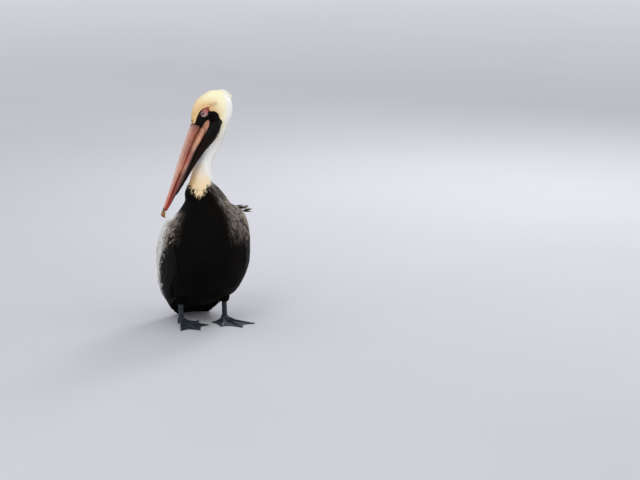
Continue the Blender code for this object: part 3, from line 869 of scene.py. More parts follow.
# %% [markdown]
# ## The lie of the coat
# Feathers always point away from the bill: back over the crown, down the nape, and from the
# neck's base in a fan over breast and belly to the vent. On a closed wing they run from the
# shoulder to the wing's tip. Combing a coat by hand leaves partings, so the lie is worked
# out as a direction at every point, and the directions blend where parts meet.


# %% Which way the feathers point
def unit(vectors):
    return vectors / np.maximum(np.linalg.norm(vectors, axis=1), 1e-9)[:, None]


def lie_of_coat(points, parts):
    ahead, above, _ = head_plane(points).T
    height, angle = round_body(points)
    ground = bird_mm(points)
    over_crown = unit(np.outer(-(above + 50), AHEAD) + np.outer(ahead + 26, UP))
    down_neck = unit(np.array([[-0.257, -0.137, -0.957]]))
    lie = unit(mix(down_neck, over_crown, smooth(height, 535, 590)))
    lie = np.where(is_part(parts, "head")[:, None], over_crown, lie)
    to_vent = unit(np.array((0, 75, 25)) - ground)
    to_tail = unit(np.array((0, 140, 40)) - ground)
    on_body = unit(mix(to_vent, to_tail, smooth(abs(angle), 85, 120)))
    lie = unit(mix(on_body, lie, smooth(height, 405, 450)))
    tip = np.stack((np.sign(ground[:, 0]) * 52, np.full(len(points), 118.0),
                    np.full(len(points), -40.0)), 1)
    lie = np.where(is_part(parts, "wing", "primaries")[:, None], unit(tip - ground), lie)
    fan = unit(ground - np.array((0, 95, 260)))
    lie = np.where(is_part(parts, "tail")[:, None], fan, lie)
    return np.where(is_part(parts, "thigh")[:, None], np.array((0, 0.12, -0.99)), lie)


# %% [markdown]
# ## Size and spacing
# Head plumes are the smallest, under 3 mm beside the bare face, and feathers grow longer and
# wider down the neck to the body and the wings. Places are drawn at random over the outer
# form, more of them where feathers are small, and any that crowd a neighbour are dropped.


# %% Plan the coat from place to place
PIECES = ("coat_head", "coat_neck", "coat_breast", "coat_back", "coat_wing_left",
          "coat_wing_right", "coat_rump")


def coat_plan(points, parts, bare):
    """Piece number, spacing, length and width in mm at each point."""
    height, angle = round_body(points)
    head, neck = is_part(parts, "head"), is_part(parts, "neck")
    wing, rear = is_part(parts, "wing"), is_part(parts, "tail", "primaries")
    trunk = is_part(parts, "trunk", "thigh")
    piece = np.select([head, neck, wing & (angle >= 0), wing, rear, trunk & (abs(angle) < 100)],
                      [0, 1, 4, 5, 6, 2], 3)
    size = np.tile((3.3, 24.0, 4.4), (len(points), 1))
    chest = smooth(height, 250, 380)
    size = mix(size, np.array((2.5, 22, 2.9)), chest * trunk)
    size = mix(size, np.array((4.8, 40, 6.5)), smooth(abs(angle), 105, 130) * trunk
               * smooth(height, 430, 380))
    on_wing = np.stack([np.interp(height, (200, 340), v)
                        for v in ((5.0, 4.2), (32, 22), (8.5, 6.5))], 1)
    size = np.where(wing[:, None], on_wing, size)
    size = np.where(rear[:, None], np.array((5.5, 36, 8.5)), size)
    on_neck = np.stack([np.interp(height, (400, 450, 570), v)
                        for v in ((2.0, 1.8, 1.55), (20, 12, 8.5), (2.4, 2.1, 1.8))], 1)
    size = np.where(neck[:, None], on_neck, size)
    on_head = np.stack([np.interp(bare, (0, 4, 14, 40), v)
                        for v in ((1.0, 1.2, 1.45, 1.55), (2.6, 4, 7, 8),
                                  (1.2, 1.4, 1.7, 1.85))], 1)
    size = np.where(head[:, None], on_head, size)
    return piece, size


# %% Where the coat's feathers can root, and how close together
corners = np.array([face if len(face) == 4 else (*face, face[-1]) for face in guide_faces])
quads = guide_points[corners]
centres = quads.mean(1)
areas = 0.5 * np.linalg.norm(np.cross(quads[:, 2] - quads[:, 0], quads[:, 3] - quads[:, 1]), axis=1)
centre_parts = parts_at(centres)
centre_bare = bareness(centres, centre_parts)
_, centre_size = coat_plan(centres, centre_parts, centre_bare)
height, angle = round_body(centres)
outside = (face_normals[:, 0] * np.sin(np.radians(angle))
           - face_normals[:, 1] * np.cos(np.radians(angle))) > 0.1
covert_roots = np.interp(abs(angle), (92, 172), (258, 300))
quill_field = (is_part(centre_parts, "wing", "primaries") & outside & (height < covert_roots)
               & (abs(angle) > 95) & (abs(angle) < 175))
bearing = (centre_bare > 0.4) & ~quill_field & (centres[:, 2] > 0.004)
weights = np.where(bearing, areas * 1e6 / centre_size[:, 0] ** 2, 0)
print("faces that bear feathers", int(bearing.sum()), "of", len(bearing))

# %% Draw the places at random and drop the crowded ones
DRAWS = 4.0                         # for each square of spacing by spacing
CROWDED = 0.00082                   # metres per mm of spacing, nearer than which one is dropped
rng = np.random.default_rng(7)
count = int(weights.sum() * DRAWS)
chosen = rng.choice(len(weights), count, p=weights / weights.sum())
u, v = rng.random((2, count, 1))
quad = quads[chosen]
drawn = ((quad[:, 0] * (1 - u) + quad[:, 1] * u) * (1 - v)
         + (quad[:, 3] * (1 - u) + quad[:, 2] * u) * v)
spacing = centre_size[chosen, 0]
tree_of_places = KDTree(count)
for number, place in enumerate(drawn.tolist()):
    tree_of_places.insert(place, number)
tree_of_places.balance()
free = np.ones(count, bool)
kept = []
for number, (place, gap) in enumerate(zip(drawn.tolist(), (spacing * CROWDED).tolist())):
    if free[number]:
        kept.append(number)
        for _, other, _ in tree_of_places.find_range(place, gap):
            free[other] = False
roots = drawn[kept]
print("feathers", len(roots))

# %% [markdown]
# ## Lay the coat
# Each feather is walked along the outer form from its root, a few steps at a time, so that
# it bends with the body. Its colour is asked for at its root, with a stray of its own, and
# on the upper parts each one has a dark edge round a silver middle.


# %% Walk the feathers along the form
def walk(starts, headings, lengths, steps):
    lines = np.empty((len(starts), steps + 1, 3))
    ups = np.empty_like(lines)
    for number, (start, heading, length) in enumerate(
            zip(starts.tolist(), headings.tolist(), lengths.tolist())):
        place, up = onto_guide(Vector(start))
        run = Vector(heading)
        for k in range(steps + 1):
            lines[number, k], ups[number, k] = place, up
            run = (run - up * run.dot(up)).normalized()
            place, up = onto_guide(place + run * (length / steps / 1000))
    return lines, ups


def swing(headings, normals, degrees):
    """Turn each heading about its own normal."""
    flat = unit(headings - normals * (headings * normals).sum(1)[:, None])
    turn = np.radians(degrees)[:, None]
    return flat * np.cos(turn) + np.cross(normals, flat) * np.sin(turn)


def unwrap(points, piece):
    """Where a point lies on an unrolling of the skin: round, and up."""
    height, angle = round_body(points)
    ahead, above, beside = head_plane(points).T
    if piece == "coat_head":
        round_head = np.arctan2(beside, above + 45) / (2 * math.pi) + 0.5
        return np.stack((0.02 + 0.96 * round_head, np.interp(ahead, (-125, 20), (0.03, 0.97))), 1)
    span = {"coat_neck": (-180, 180, 390, 640), "coat_breast": (-125, 125, 20, 440),
            "coat_wing_left": (35, 185, 60, 370), "coat_wing_right": (-185, -35, 60, 370)
            }.get(piece, (-180, 180, 0, 450))
    return np.stack((np.interp(angle, span[:2], (0.02, 0.98)),
                     np.interp(height, span[2:], (0.02, 0.98))), 1)


# %% Read size, heading and colour at every root
root_parts = parts_at(roots)
root_bare = bareness(roots, root_parts)
piece_of, size = coat_plan(roots, root_parts, root_bare)
stray = np.clip(rng.normal(0, 0.42, len(roots)), -1, 1)
normals = np.array([onto_guide(place)[1] for place in roots.tolist()])
headings = swing(lie_of_coat(roots, root_parts), normals, rng.normal(0, 5, len(roots)))
lengths = size[:, 1] * rng.uniform(0.86, 1.14, len(roots))
widths = size[:, 2] * rng.uniform(0.85, 1.15, len(roots))
lines, ups = walk(roots, headings, lengths, 3)
own = plumage(roots, root_parts, root_bare, stray)
upper_side = smooth(own.sum(1) / 3, 0.03, 0.12) * ~is_part(root_parts, "head", "neck")
sink = np.minimum(coat_depth(roots, root_parts, root_bare) * 0.8, lengths * 0.22)
lift = np.where(is_part(root_parts, "head"), 0.15, 0.5) + rng.uniform(0, 0.35, len(roots))
print("mean length of a feather, mm:", round(float(lengths.mean()), 1))

# %% Lay the coat, piece by piece
coat = {}
for number, piece in enumerate(PIECES):
    mine = piece_of == number
    small = piece in ("coat_head", "coat_neck", "coat_breast")
    edge = mix(own, own * 0.35, upper_side * (0.35 if "wing" in piece else 0.75))
    tip = mix(own * 1.08, own * 0.8, upper_side)
    coat[piece] = lay_feathers(
        piece, lines[mine], ups[mine], widths[mine], PLUME if small else CONTOUR,
        (own[mine], edge[mine], tip[mine]), unwrap(roots[mine], piece),
        sink=sink[mine], lift=lift[mine])
    coat[piece].data.materials.append(
        PLUSH if piece in ("coat_head", "coat_neck") else
        BODY_PLUMES if piece in ("coat_breast", "coat_back") else VANES)
    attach(coat[piece], "root")
    print(piece, int(mine.sum()), "feathers", triangles(coat[piece]), "triangles")

# %% [markdown]
# ## The great feathers of wing and tail
# The long feathers of a closed wing lie in ordered rows: black primaries lowest, then the
# secondaries, then greater and median coverts over the roots of those. Each row is set out
# between two end feathers by height and angle round the body, and rays find where it lies
# on the form. Drawn at random like the coat they would look ruffled, and it is by its even
# rows that a wing is known. The right wing hangs lower than the left, so its rows drop.


# %% Set out a row of quills
WING_DROP = {"left": (2.0, 3.0), "right": (-7.0, -25.0)}     # mm, at the tip and the shoulder


def spot_round(height, angle):
    """A place on the outer form, met by a ray from outside."""
    turn = math.radians(angle)
    out = Vector((math.sin(turn), -math.cos(turn), 0))
    axis = Vector(HOME) + Vector((0, -0.005, height / 1000))
    place, _, face, _ = guide_tree.ray_cast(axis + out * 0.3, -out)
    if place is None:
        place, _, face, _ = guide_tree.find_nearest(axis + out * 0.12)
    return place, Vector(face_normals[face])


def row_of_quills(side, first, last, count, steps=8):
    """Centre lines between two end feathers, each (root height, angle, tip height, angle)."""
    sign = SIDES[side]
    lines, ups = np.empty((2, count, steps + 1, 3))
    for number in range(count):
        ends = np.array(first) + (np.array(last) - first) * number / (count - 1)
        ends = ends + rng.normal(0, (2.0, 0.5, 4.0, 0.8))
        for k in range(steps + 1):
            t = k / steps
            height = ends[0] + (ends[2] - ends[0]) * t
            angle = ends[1] + (ends[3] - ends[1]) * t
            height += np.interp(height, (120, 300), WING_DROP[side])
            lines[number, k], ups[number, k] = spot_round(max(height, 3.0), angle * sign)
    for values in (lines, ups):
        values[:, 1:-1] = values[:, :-2] * 0.25 + values[:, 1:-1] * 0.5 + values[:, 2:] * 0.25
    return lines, ups


def quill_islands(count):
    """Long patches side by side on the bake map, one for each big feather."""
    return np.stack(((np.arange(count) + 0.5) / count * 0.96 + 0.02, np.full(count, 0.5)), 1)


def row_colours(row, middle):
    """Shaft, vane and tip of each feather: black primaries, silver where the rest show."""
    if row == "primary_quills":
        return QUILL_DARK, QUILL_DARK * 1.9, QUILL_DARK
    height, angle = round_body(middle)
    pale = smooth(height + 1.2 * abs(angle), 250, 290)
    if row == "secondary_quills":
        pale = rng.uniform(0.45, 0.75, len(middle)) * pale
        return (mix(QUILL_DARK, SLATE, pale), mix(QUILL_DARK * 1.6, SILVER * 0.7, pale),
                mix(QUILL_DARK, SLATE * 1.3, pale))
    white = mix(SILVER, PALE_SILVER, smooth(abs(angle), 150, 105) * 0.9)
    white = white * rng.uniform(0.8, 1.0, (len(middle), 1))
    return (mix(QUILL_DARK * 1.5, SILVER * 0.8, pale), mix(QUILL_DARK * 1.3, white, pale),
            mix(QUILL_DARK, white * 0.8, pale))


# %% Rows of quills on the closed wings
ROWS = {  # first and last feather, how many, width, level, sink, outline
    "primary_quills": ((122, 81, 15, 153), (215, 96, 104, 142), 9, 17, -1.4, 1.5, QUILL),
    "secondary_quills": ((205, 94, 116, 130), (262, 177, 88, 177), 17, 17, -0.8, 2.2, QUILL),
    "greater_coverts": ((248, 92, 188, 106), (300, 177, 205, 178), 19, 13, 0.4, 2.4, COVERT),
    "median_coverts": ((278, 92, 224, 100), (325, 170, 252, 173), 19, 12, 1.1, 2.4, COVERT)}
for side, sign in SIDES.items():
    for row, (first, last, count, width, level, sink, outline) in ROWS.items():
        lines, ups = row_of_quills(side, first, last, count)
        piece = lay_feathers(
            row + "_" + side, lines, ups, width, outline, row_colours(row, lines[:, 5]),
            quill_islands(count), level=level + np.arange(count) * 0.08, sink=sink,
            lift=0.2, droop=0.10, vanes=(0.8, 1.1) if sign > 0 else (1.1, 0.8),
            island_size=(0.9 / count, 0.9))
        piece.data.materials.append(VANES)
        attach(piece, "root")
        print(piece.name, triangles(piece), "triangles")

# %% [markdown]
# The tail is a short fan of stiff feathers whose tips come down to the floor. Rays from
# behind find its upper face, and go on through it to find the under face, where the same
# feathers show again. The under face starts lower, because higher up lies the belly.

# %% Tail fan
TAIL_COUNT, HALF_SPREAD = 13, 50    # feathers, and mm from the middle to the outer tips
for face_name, inward, root_height in (("upper", 0, 112), ("under", 1, 56)):
    lines, ups = np.empty((2, TAIL_COUNT, 9, 3))
    for number in range(TAIL_COUNT):
        spread = -1 + 2 * number / (TAIL_COUNT - 1)
        for k in range(9):
            t = k / 8
            x = HALF_SPREAD * spread * (0.45 + 0.55 * t) / 1000
            z = (root_height * (1 - t) + (2.5 + 9 * spread ** 2) * t) / 1000
            start = Vector(HOME) + Vector((x, 0.3, z))
            place, _, face, _ = guide_tree.ray_cast(start, Vector((0, -1, 0)))
            if inward:
                through = guide_tree.ray_cast(place + Vector((0, -0.0008, 0)), Vector((0, -1, 0)))
                place, face = through[0], through[2]
            lines[number, k], ups[number, k] = place, face_normals[face]
    order = np.argsort(-abs(np.linspace(-1, 1, TAIL_COUNT)) * (1 - 2 * inward))
    piece = lay_feathers(
        "tail_feathers_" + face_name, lines[order], ups[order], 15.5, QUILL,
        (QUILL_DARK, SLATE * 0.8, QUILL_DARK), quill_islands(TAIL_COUNT),
        level=0.1 + np.arange(TAIL_COUNT) * 0.09, sink=1.2, droop=0.05,
        island_size=(0.9 / TAIL_COUNT, 0.9))
    piece.data.materials.append(VANES)
    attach(piece, "root")
    print(piece.name, triangles(piece), "triangles")

# %% [markdown]
# ## The bill
# The bill is horn over thin bone: a ridge along the top with a groove on each side of it,
# then flat flanks down to the cutting edge, and a hooked nail at the tip. Copies of the two
# halves are remeshed fine and shaped by moving their points in the head's own grid, because
# the halves have to keep the exact place that the frame gives them.


# %% Tools for the bill
def fine_copy(name, nodes, voxel, rounds):
    obj = copy_of_nodes(name, nodes)
    apply_modifier(obj, "REMESH", mode="VOXEL", voxel_size=voxel)
    apply_modifier(obj, "SMOOTH", factor=0.5, iterations=rounds)
    return obj


def split_height(ahead):
    """Where the cutting edges meet, above the culmen's base, as the frame has it."""
    return np.interp(ahead, (0, 77, 128, 181, 225, 273), (-20.3, -16.5, -14.2, -12.2, -10.8, -9.3))


def seam_lift(ahead):
    """How far the real line between the halves lies above the frame's cut."""
    return np.interp(ahead, (0, 12, 30, 57, 84, 120, 180, 228, 264),
                     (-5.5, -6, -4, -2, 0, 0, 2.5, 4.5, 5))


def raise_split(ahead, above):
    """Bring the cutting edge to its real line and keep top and bottom where they are."""
    line = split_height(ahead)
    bottom = np.interp(ahead, (0, 30, 77, 128, 181, 225, 256, 270),
                       (-46, -46, -37, -33, -28.5, -20.5, -15, -12.5))
    near = np.where(above > line, smooth(above, 3, line), smooth(above, bottom, line))
    return above + seam_lift(ahead) * near


def off_middle(ahead, beside):
    """0 on the bill's ridge and 1 at the side of its upper half."""
    half_width = np.interp(ahead, (0, 60, 150, 244, 273), (17.5, 14.5, 12.5, 11, 8.5))
    return abs(beside) / half_width


def place_in_head(obj, shape):
    ahead, above, beside = shape(*head_plane(read_points(obj)).T)
    write_points(obj, CULMEN + (np.stack((ahead, above, beside), 1) @ HEAD_AXES) / 1000)


# %% Shape the two halves and the nail
def shape_upper(ahead, above, beside):
    line = split_height(ahead)
    above = raise_split(ahead, above) - 0.6 * smooth(above, line + 6, line)
    off = off_middle(ahead, beside)
    top = smooth(above, -8, -1)
    groove = 1.3 * np.exp(-((off - 0.42) / 0.13) ** 2) * smooth(ahead, 279, 255)
    ridge = 0.9 * np.exp(-(off / 0.22) ** 2)
    lines = 0.22 * np.sin(off * 26) * smooth(off, 0.5, 0.6)
    return ahead, above + (ridge - groove - 1.6 * off ** 2) * top + lines * 0.5, beside


def shape_lower(ahead, above, beside):
    line = split_height(ahead)
    above = raise_split(ahead, above) + 1.0 * smooth(above, line - 7, line)
    flank = np.sign(beside) * smooth(abs(beside), 3, 8)
    hollow = 1.4 * np.exp(-((above + 22) / 7) ** 2) * smooth(ahead, 200, 120)
    return ahead, above, beside - flank * hollow


bill_upper = fine_copy("bill_upper_horn", ["bill_upper"], 0.0012, 4)
bill_nail = fine_copy("bill_nail_horn", ["bill_nail"], 0.0008, 3)
bill_lower = fine_copy("bill_lower_horn", ["bill_lower"], 0.0012, 4)
place_in_head(bill_upper, shape_upper)
place_in_head(bill_lower, shape_lower)
for piece in (bill_upper, bill_nail, bill_lower):
    piece.data.shade_smooth()
    print(piece.name, triangles(piece), "triangles")

# %% [markdown]
# Its colours change along it: peach and tan near the face, crimson towards the tip below,
# pinkish grey along the top with red-brown streaks down the flanks, and a dark line where
# the halves meet. A painted highlight runs along the ridge, painted shade lies in the groove
# beside it, and the flanks are painted darker as shade where they turn under. The nail is
# amber with a dark mark above it, and painted shade on its left side.

# %% Bill colours
SEAM_BROWN, GROOVE_SHADE, SPOT_BROWN = ink("#6E2E22"), ink("#5A2A20"), ink("#4A3222")
RIDGE_HIGHLIGHT, PATCH_PALE, EDGE_PALE = ink("#E2C6B8"), ink("#C59A84"), ink("#CC9A80")
TIP_DARK, POUCH_EDGE = ink("#22242A"), ink("#220F06")
NAIL_AMBER, NAIL_SHADED_SIDE, NAIL_TIP = ink("#C8923A"), ink("#8A5A1C"), ink("#8A5A22")
NAIL_ROOT = ink("#2E2C26")


# %% Paint the upper half
def blend_along(ahead, stops):
    at = [place for place, _ in stops]
    shades = np.array([ink(shade) for _, shade in stops])
    return np.stack([np.interp(ahead, at, shades[:, k]) for k in range(3)], 1)


def upper_bill_colour(points):
    ahead, above, beside = head_plane(points).T
    top = blend_along(ahead, ((0, "#64392C"), (14, "#8C523F"), (30, "#A8664B"), (90, "#9C6352"),
                              (145, "#BA826B"), (170, "#B57F73"), (215, "#B27263"),
                              (240, "#B06048"), (262, "#AC4A2A"), (273, "#78371C")))
    # The flank colours are partly the bill's own red-brown and partly painted shade where the flank
    # turns under.
    flank = blend_along(ahead, ((0, "#5E3628"), (14, "#8A4E3A"), (30, "#884A35"), (60, "#985642"),
                                (90, "#A76150"), (130, "#C77D5D"), (145, "#CC8B68"),
                                (165, "#A05A43"), (190, "#B25446"), (215, "#A8483D"),
                                (235, "#D6452E"), (270, "#C63E14")))
    off = off_middle(ahead, beside)
    seam = split_height(ahead) + seam_lift(ahead)
    down = np.clip(-above / np.maximum(-seam, 1), 0, 1)
    streak = np.sin(off * 17 + 1.2 * mottle(bird_mm(points), 30, 41)) * 0.12
    colour = mix(top, flank, np.clip(smooth(down, 0.28, 0.72) + streak, 0, 1))
    colour = mix(colour, SEAM_BROWN, (0.5 - 0.28 * smooth(ahead, 80, 100))
                 * smooth(above, seam + 2.2, seam + 0.6))
    # A painted highlight along the top of the ridge.
    colour = mix(colour, RIDGE_HIGHLIGHT, 0.44 * smooth(down, 0.22, 0.05)
                 * (0.5 + 0.5 * np.exp(-(off / 0.5) ** 2)) * smooth(ahead, 2, 16))
    # Painted shade in the groove beside the ridge.
    groove = np.exp(-((above + 4.2) / 1.3) ** 2) * smooth(ahead, 4, 14) * smooth(ahead, 240, 190)
    colour = mix(colour, GROOVE_SHADE, 0.34 * groove)
    # One pale patch, one brown spot beside it, and a dark mark on top behind the nail.
    pale = np.exp(-((ahead - 132) / 7) ** 2 - ((above + 15) / 4) ** 2)
    colour = mix(colour, PATCH_PALE, 0.6 * pale)
    spot = np.exp(-((ahead - 157) / 6) ** 2 - ((above + 12.5) / 3.5) ** 2)
    colour = mix(colour, SPOT_BROWN, 0.75 * spot)
    mark = np.exp(-((ahead - 267) / 5) ** 2) * smooth(above, -6, 0)
    colour = mix(colour, TIP_DARK, 0.9 * mark)
    return colour * (1 + 0.10 * mottle(bird_mm(points), 7, 42))[:, None]


# %% Paint the lower half and the nail
def lower_bill_colour(points):
    ahead, above, _ = head_plane(points).T
    colour = blend_along(ahead, ((0, "#A06C52"), (14, "#A26C4E"), (30, "#B17755"), (52, "#B07B5D"),
                                 (64, "#A06E58"), (84, "#8A4C41"), (110, "#9B5247"),
                                 (132, "#A8705A"), (157, "#7E4129"), (180, "#7E2F21"),
                                 (204, "#701D14"), (225, "#731A14"), (245, "#942514"),
                                 (270, "#9C3616")))
    seam = split_height(ahead) + seam_lift(ahead)
    colour = mix(colour, SEAM_BROWN, 0.3 * smooth(above, seam - 0.4, seam + 0.8))
    colour = mix(colour, EDGE_PALE, 0.35 * np.exp(-((above - seam + 7) / 3) ** 2)
                 * smooth(ahead, 100, 70))
    edge = np.interp(ahead, (0, 16, 36, 60, 84, 120, 156, 192, 225, 270),
                     (-43, -41.5, -38, -31.5, -28, -24, -21, -18.5, -15.5, -10))
    colour = mix(colour, POUCH_EDGE,
                 smooth(above, edge + 1.0, edge - 1.4) * smooth(ahead, 14, 28))
    return colour * (1 + 0.12 * mottle(bird_mm(points), 9, 43))[:, None]


def nail_colour(points):
    ahead, above, beside = head_plane(points).T
    # Painted shade: the nail is darker on its left side.
    colour = mix(NAIL_AMBER, NAIL_SHADED_SIDE, smooth(beside, -4, 3))
    colour = mix(colour, NAIL_TIP, smooth(ahead, 277, 289))
    return mix(colour, NAIL_ROOT, smooth(ahead, 277, 272.5) * smooth(above, -5, 0) * 0.9)


paint(bill_upper, upper_bill_colour(read_points(bill_upper)))
paint(bill_lower, lower_bill_colour(read_points(bill_lower)))
paint(bill_nail, nail_colour(read_points(bill_nail)))

# %% [markdown]
# Horn has a soft gloss, with fine lengthwise grain about 1 mm apart and dull worn patches.
# A thin clear coat gives the wet edge to its shine. The grain pattern is stretched along
# the bill by turning the object's own coordinates into the bill's direction.

# %% Horn material
horn, tree, shader = new_material("keratin_bill_horn", {
    "Specular IOR Level": 0.5, "Coat Weight": 0.15, "Coat Roughness": 0.25,
    "Subsurface Weight": 0.06, "Subsurface Scale": 0.003})
where = add_node(tree, "ShaderNodeTexCoord")
tint = add_node(tree, "ShaderNodeAttribute", {"attribute_name": "tint"})
turned = add_node(tree, "ShaderNodeMapping", {
    "vector_type": "TEXTURE",
    "Rotation": Vector(AHEAD).to_track_quat("Z", "Y").to_euler(),
    "Scale": (1.0, 1.0, 14.0)}, {"Vector": where.outputs["Object"]})
grain = add_node(tree, "ShaderNodeTexNoise", {"Scale": 900.0, "Detail": 3.0},
                 {"Vector": turned.outputs["Vector"]})
scuff = add_node(tree, "ShaderNodeTexNoise", {"Scale": 90.0, "Detail": 5.0},
                 {"Vector": where.outputs["Object"]})
shade = add_node(tree, "ShaderNodeMapRange", {"From Min": 0.3, "From Max": 0.7, "To Min": 0.82,
                                              "To Max": 1.16}, {"Value": grain.outputs["Fac"]})
dull = add_node(tree, "ShaderNodeMapRange", {"From Min": 0.35, "From Max": 0.65, "To Min": 0.3,
                                             "To Max": 0.5}, {"Value": scuff.outputs["Fac"]})
tinted = add_node(tree, "ShaderNodeVectorMath", {"operation": "SCALE"},
                  {0: tint.outputs["Color"], "Scale": shade.outputs["Result"]})
bump = add_node(tree, "ShaderNodeBump", {"Strength": 0.25, "Distance": 0.0003},
                {"Height": grain.outputs["Fac"]})
for socket, source in (("Base Color", tinted.outputs["Vector"]),
                       ("Roughness", dull.outputs["Result"]),
                       ("Normal", bump.outputs["Normal"])):
    tree.links.new(source, shader.inputs[socket])
for piece, node, slot in ((bill_upper, "bill_upper", "bill_horn"),
                          (bill_nail, "bill_nail", "nail_horn"),
                          (bill_lower, "bill_lower", "bill_horn")):
    piece.data.materials.append(horn)
    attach(piece, "root")
    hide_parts(node)

# %% [markdown]
# ## The eyes
# A ball is set in each socket with its pole turned outwards, so that rings of pupil, iris
# and dark rim follow its own circles. The front is drawn out a little for the cornea, and a
# wet clear coat gives the catch light.


# %% Eyeballs
PUPIL, IRIS_INNER, IRIS_PALE = ink("#0D0908"), ink("#6A4640"), ink("#8C6660")
IRIS_OUTER, EYE_RIM = ink("#6E4A45"), ink("#2A1A18")
BALL_CLEARANCE, CORNEA = 0.1, 0.45  # mm inside the lids' ball, and how far the cornea stands


def frame_of(outward):
    """Three axes with the last one along outward."""
    outward = Vector(outward).normalized()
    aside = outward.orthogonal().normalized()
    return np.array((aside, outward.cross(aside), outward))


eyeballs = {}
for side, sign in SIDES.items():
    bpy.ops.object.select_all(action="DESELECT")
    bpy.ops.mesh.primitive_uv_sphere_add(segments=48, ring_count=40, radius=0.001)
    ball = bpy.context.object
    ball.name = "eyeball_" + side
    local = read_points(ball) * 1000
    turn = np.degrees(np.arccos(np.clip(local[:, 2], -1, 1)))
    radius = EYEBALL - BALL_CLEARANCE + CORNEA * np.exp(-(turn / 26) ** 2)
    write_points(ball, EYE[side] + (local * radius[:, None] @ frame_of(gaze(sign))) / 1000)
    veins = 0.12 * mottle(local * 8, 1.2, 51)
    colour = mix(PUPIL, IRIS_INNER, smooth(turn, 19, 22))
    colour = mix(colour, IRIS_PALE, smooth(turn + veins * 12, 24, 31))
    colour = mix(colour, IRIS_OUTER, smooth(turn, 34, 42))
    colour = mix(colour, EYE_RIM, smooth(turn, 44, 47))
    paint(ball, colour)
    ball.data.shade_smooth()
    eyeballs[side] = ball
    print(ball.name, triangles(ball), "triangles")

# %% [markdown]
# A live eye is wet: a clear film lies over a dull iris, so one sharp catch light shows on a
# soft colour. A full clear coat stands for the film, and fine noise for the iris's fibres.

# %% Eye material
eye_finish, tree, shader = new_material("wet_eye", {
    "Roughness": 0.22, "Coat Weight": 1.0, "Coat Roughness": 0.03, "Specular IOR Level": 0.5})
tint = add_node(tree, "ShaderNodeAttribute", {"attribute_name": "tint"})
where = add_node(tree, "ShaderNodeTexCoord")
fibre = add_node(tree, "ShaderNodeTexNoise", {"Scale": 1400.0, "Detail": 2.0},
                 {"Vector": where.outputs["Object"]})
shade = add_node(tree, "ShaderNodeMapRange", {"To Min": 0.85, "To Max": 1.1},
                 {"Value": fibre.outputs["Fac"]})
tinted = add_node(tree, "ShaderNodeVectorMath", {"operation": "SCALE"},
                  {0: tint.outputs["Color"], "Scale": shade.outputs["Result"]})
tree.links.new(tinted.outputs["Vector"], shader.inputs["Base Color"])
for side, ball in eyeballs.items():
    ball.data.materials.append(eye_finish)
    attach(ball, "root")
    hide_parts("eye_" + side)

# %% [markdown]
# ## Legs and webbed feet
# All four toes of a pelican are joined by web. Copies of shank and foot are welded into one
# fine closed form for each leg, then scutes are moved into it: plates across the front of
# the shank and along the top of each toe, and slack wrinkles in the web between them. Each
# plate could be a piece of its own, but on the real leg they are folds of one skin.


# %% Shape each leg
TOE_ANGLES, TOE_LENGTHS = (-62, -24, 10, 40), (52, 88, 113, 104)   # degrees and mm
FOOT_TURN = {"left": 3.0, "right": -26.0}                          # degrees outwards
ANKLE = {"left": np.array((64.0, 4, 0)), "right": np.array((-70.0, 4, 0))}   # mm
PLATE_PITCH, SCUTE_PITCH = 4.2, 4.0      # mm, down the shank and along a toe
LEG_BLUE, LEG_PALE, SOLE, CRACK = (ink(c) for c in ("#23292F", "#3E4850", "#1C1F22", "#15181C"))
legs = {}
for side, sign in SIDES.items():
    leg = fine_copy("leg_" + side, ["tarsus_" + side, "foot_" + side], 0.0009, 4)
    points, normals = read_points(leg), read_points(leg, "normal")
    ground = bird_mm(points) - ANKLE[side]
    reach = np.hypot(ground[:, 0], ground[:, 1])
    bearing_angle = np.degrees(np.arctan2(ground[:, 0] * sign, -ground[:, 1])) - FOOT_TURN[side]
    bearing_angle = (bearing_angle + 180) % 360 - 180
    off_toe = np.min([np.hypot(reach * np.sin(np.radians(bearing_angle - toe)),
                               np.where(abs(bearing_angle - toe) < 60, 0, 99))
                      for toe in TOE_ANGLES], axis=0)
    on_shank = smooth(ground[:, 2], 17, 24)
    on_toe = smooth(off_toe, 5.5, 2.0) * (1 - on_shank) * smooth(ground[:, 2], 0.8, 2.0)
    plates = abs(np.sin(ground[:, 2] * math.pi / PLATE_PITCH)) ** 0.5 - 0.6
    front = smooth(-ground[:, 1], -4, 3)
    move = 0.40 * plates * on_shank * (0.35 + 0.65 * front)
    move += 0.45 * (abs(np.sin(reach * math.pi / SCUTE_PITCH)) ** 0.5 - 0.6) * on_toe
    web = smooth(off_toe, 4, 9) * (1 - on_shank) * smooth(reach, 18, 34) * (normals[:, 2] > 0.3)
    move += web * (0.20 * np.sin(bearing_angle * 1.6 + 0.12 * reach)
                   + 0.22 * mottle(ground, 6, 61))
    points = points + normals * (move / 1000)[:, None]
    points[:, 2] = np.maximum(points[:, 2], 0.0)
    write_points(leg, points)
    colour = mix(LEG_BLUE, LEG_PALE, np.clip(0.35 * on_shank + 0.30 * web + 0.3 * on_toe
                                             + 0.25 * mottle(ground, 12, 62), 0, 1))
    colour = mix(colour, SOLE, smooth(ground[:, 2], 0.6, 0.1))
    crack = smooth(plates, -0.25, -0.55) * on_shank
    colour = mix(colour, CRACK, 0.7 * crack)
    paint(leg, colour)
    leg.data.shade_smooth()
    legs[side] = leg
    print(leg.name, triangles(leg), "triangles")

# %% [markdown]
# Each toe ends in a short dark claw: a cone that is narrowed, bent down to the floor and
# set at the toe's tip.

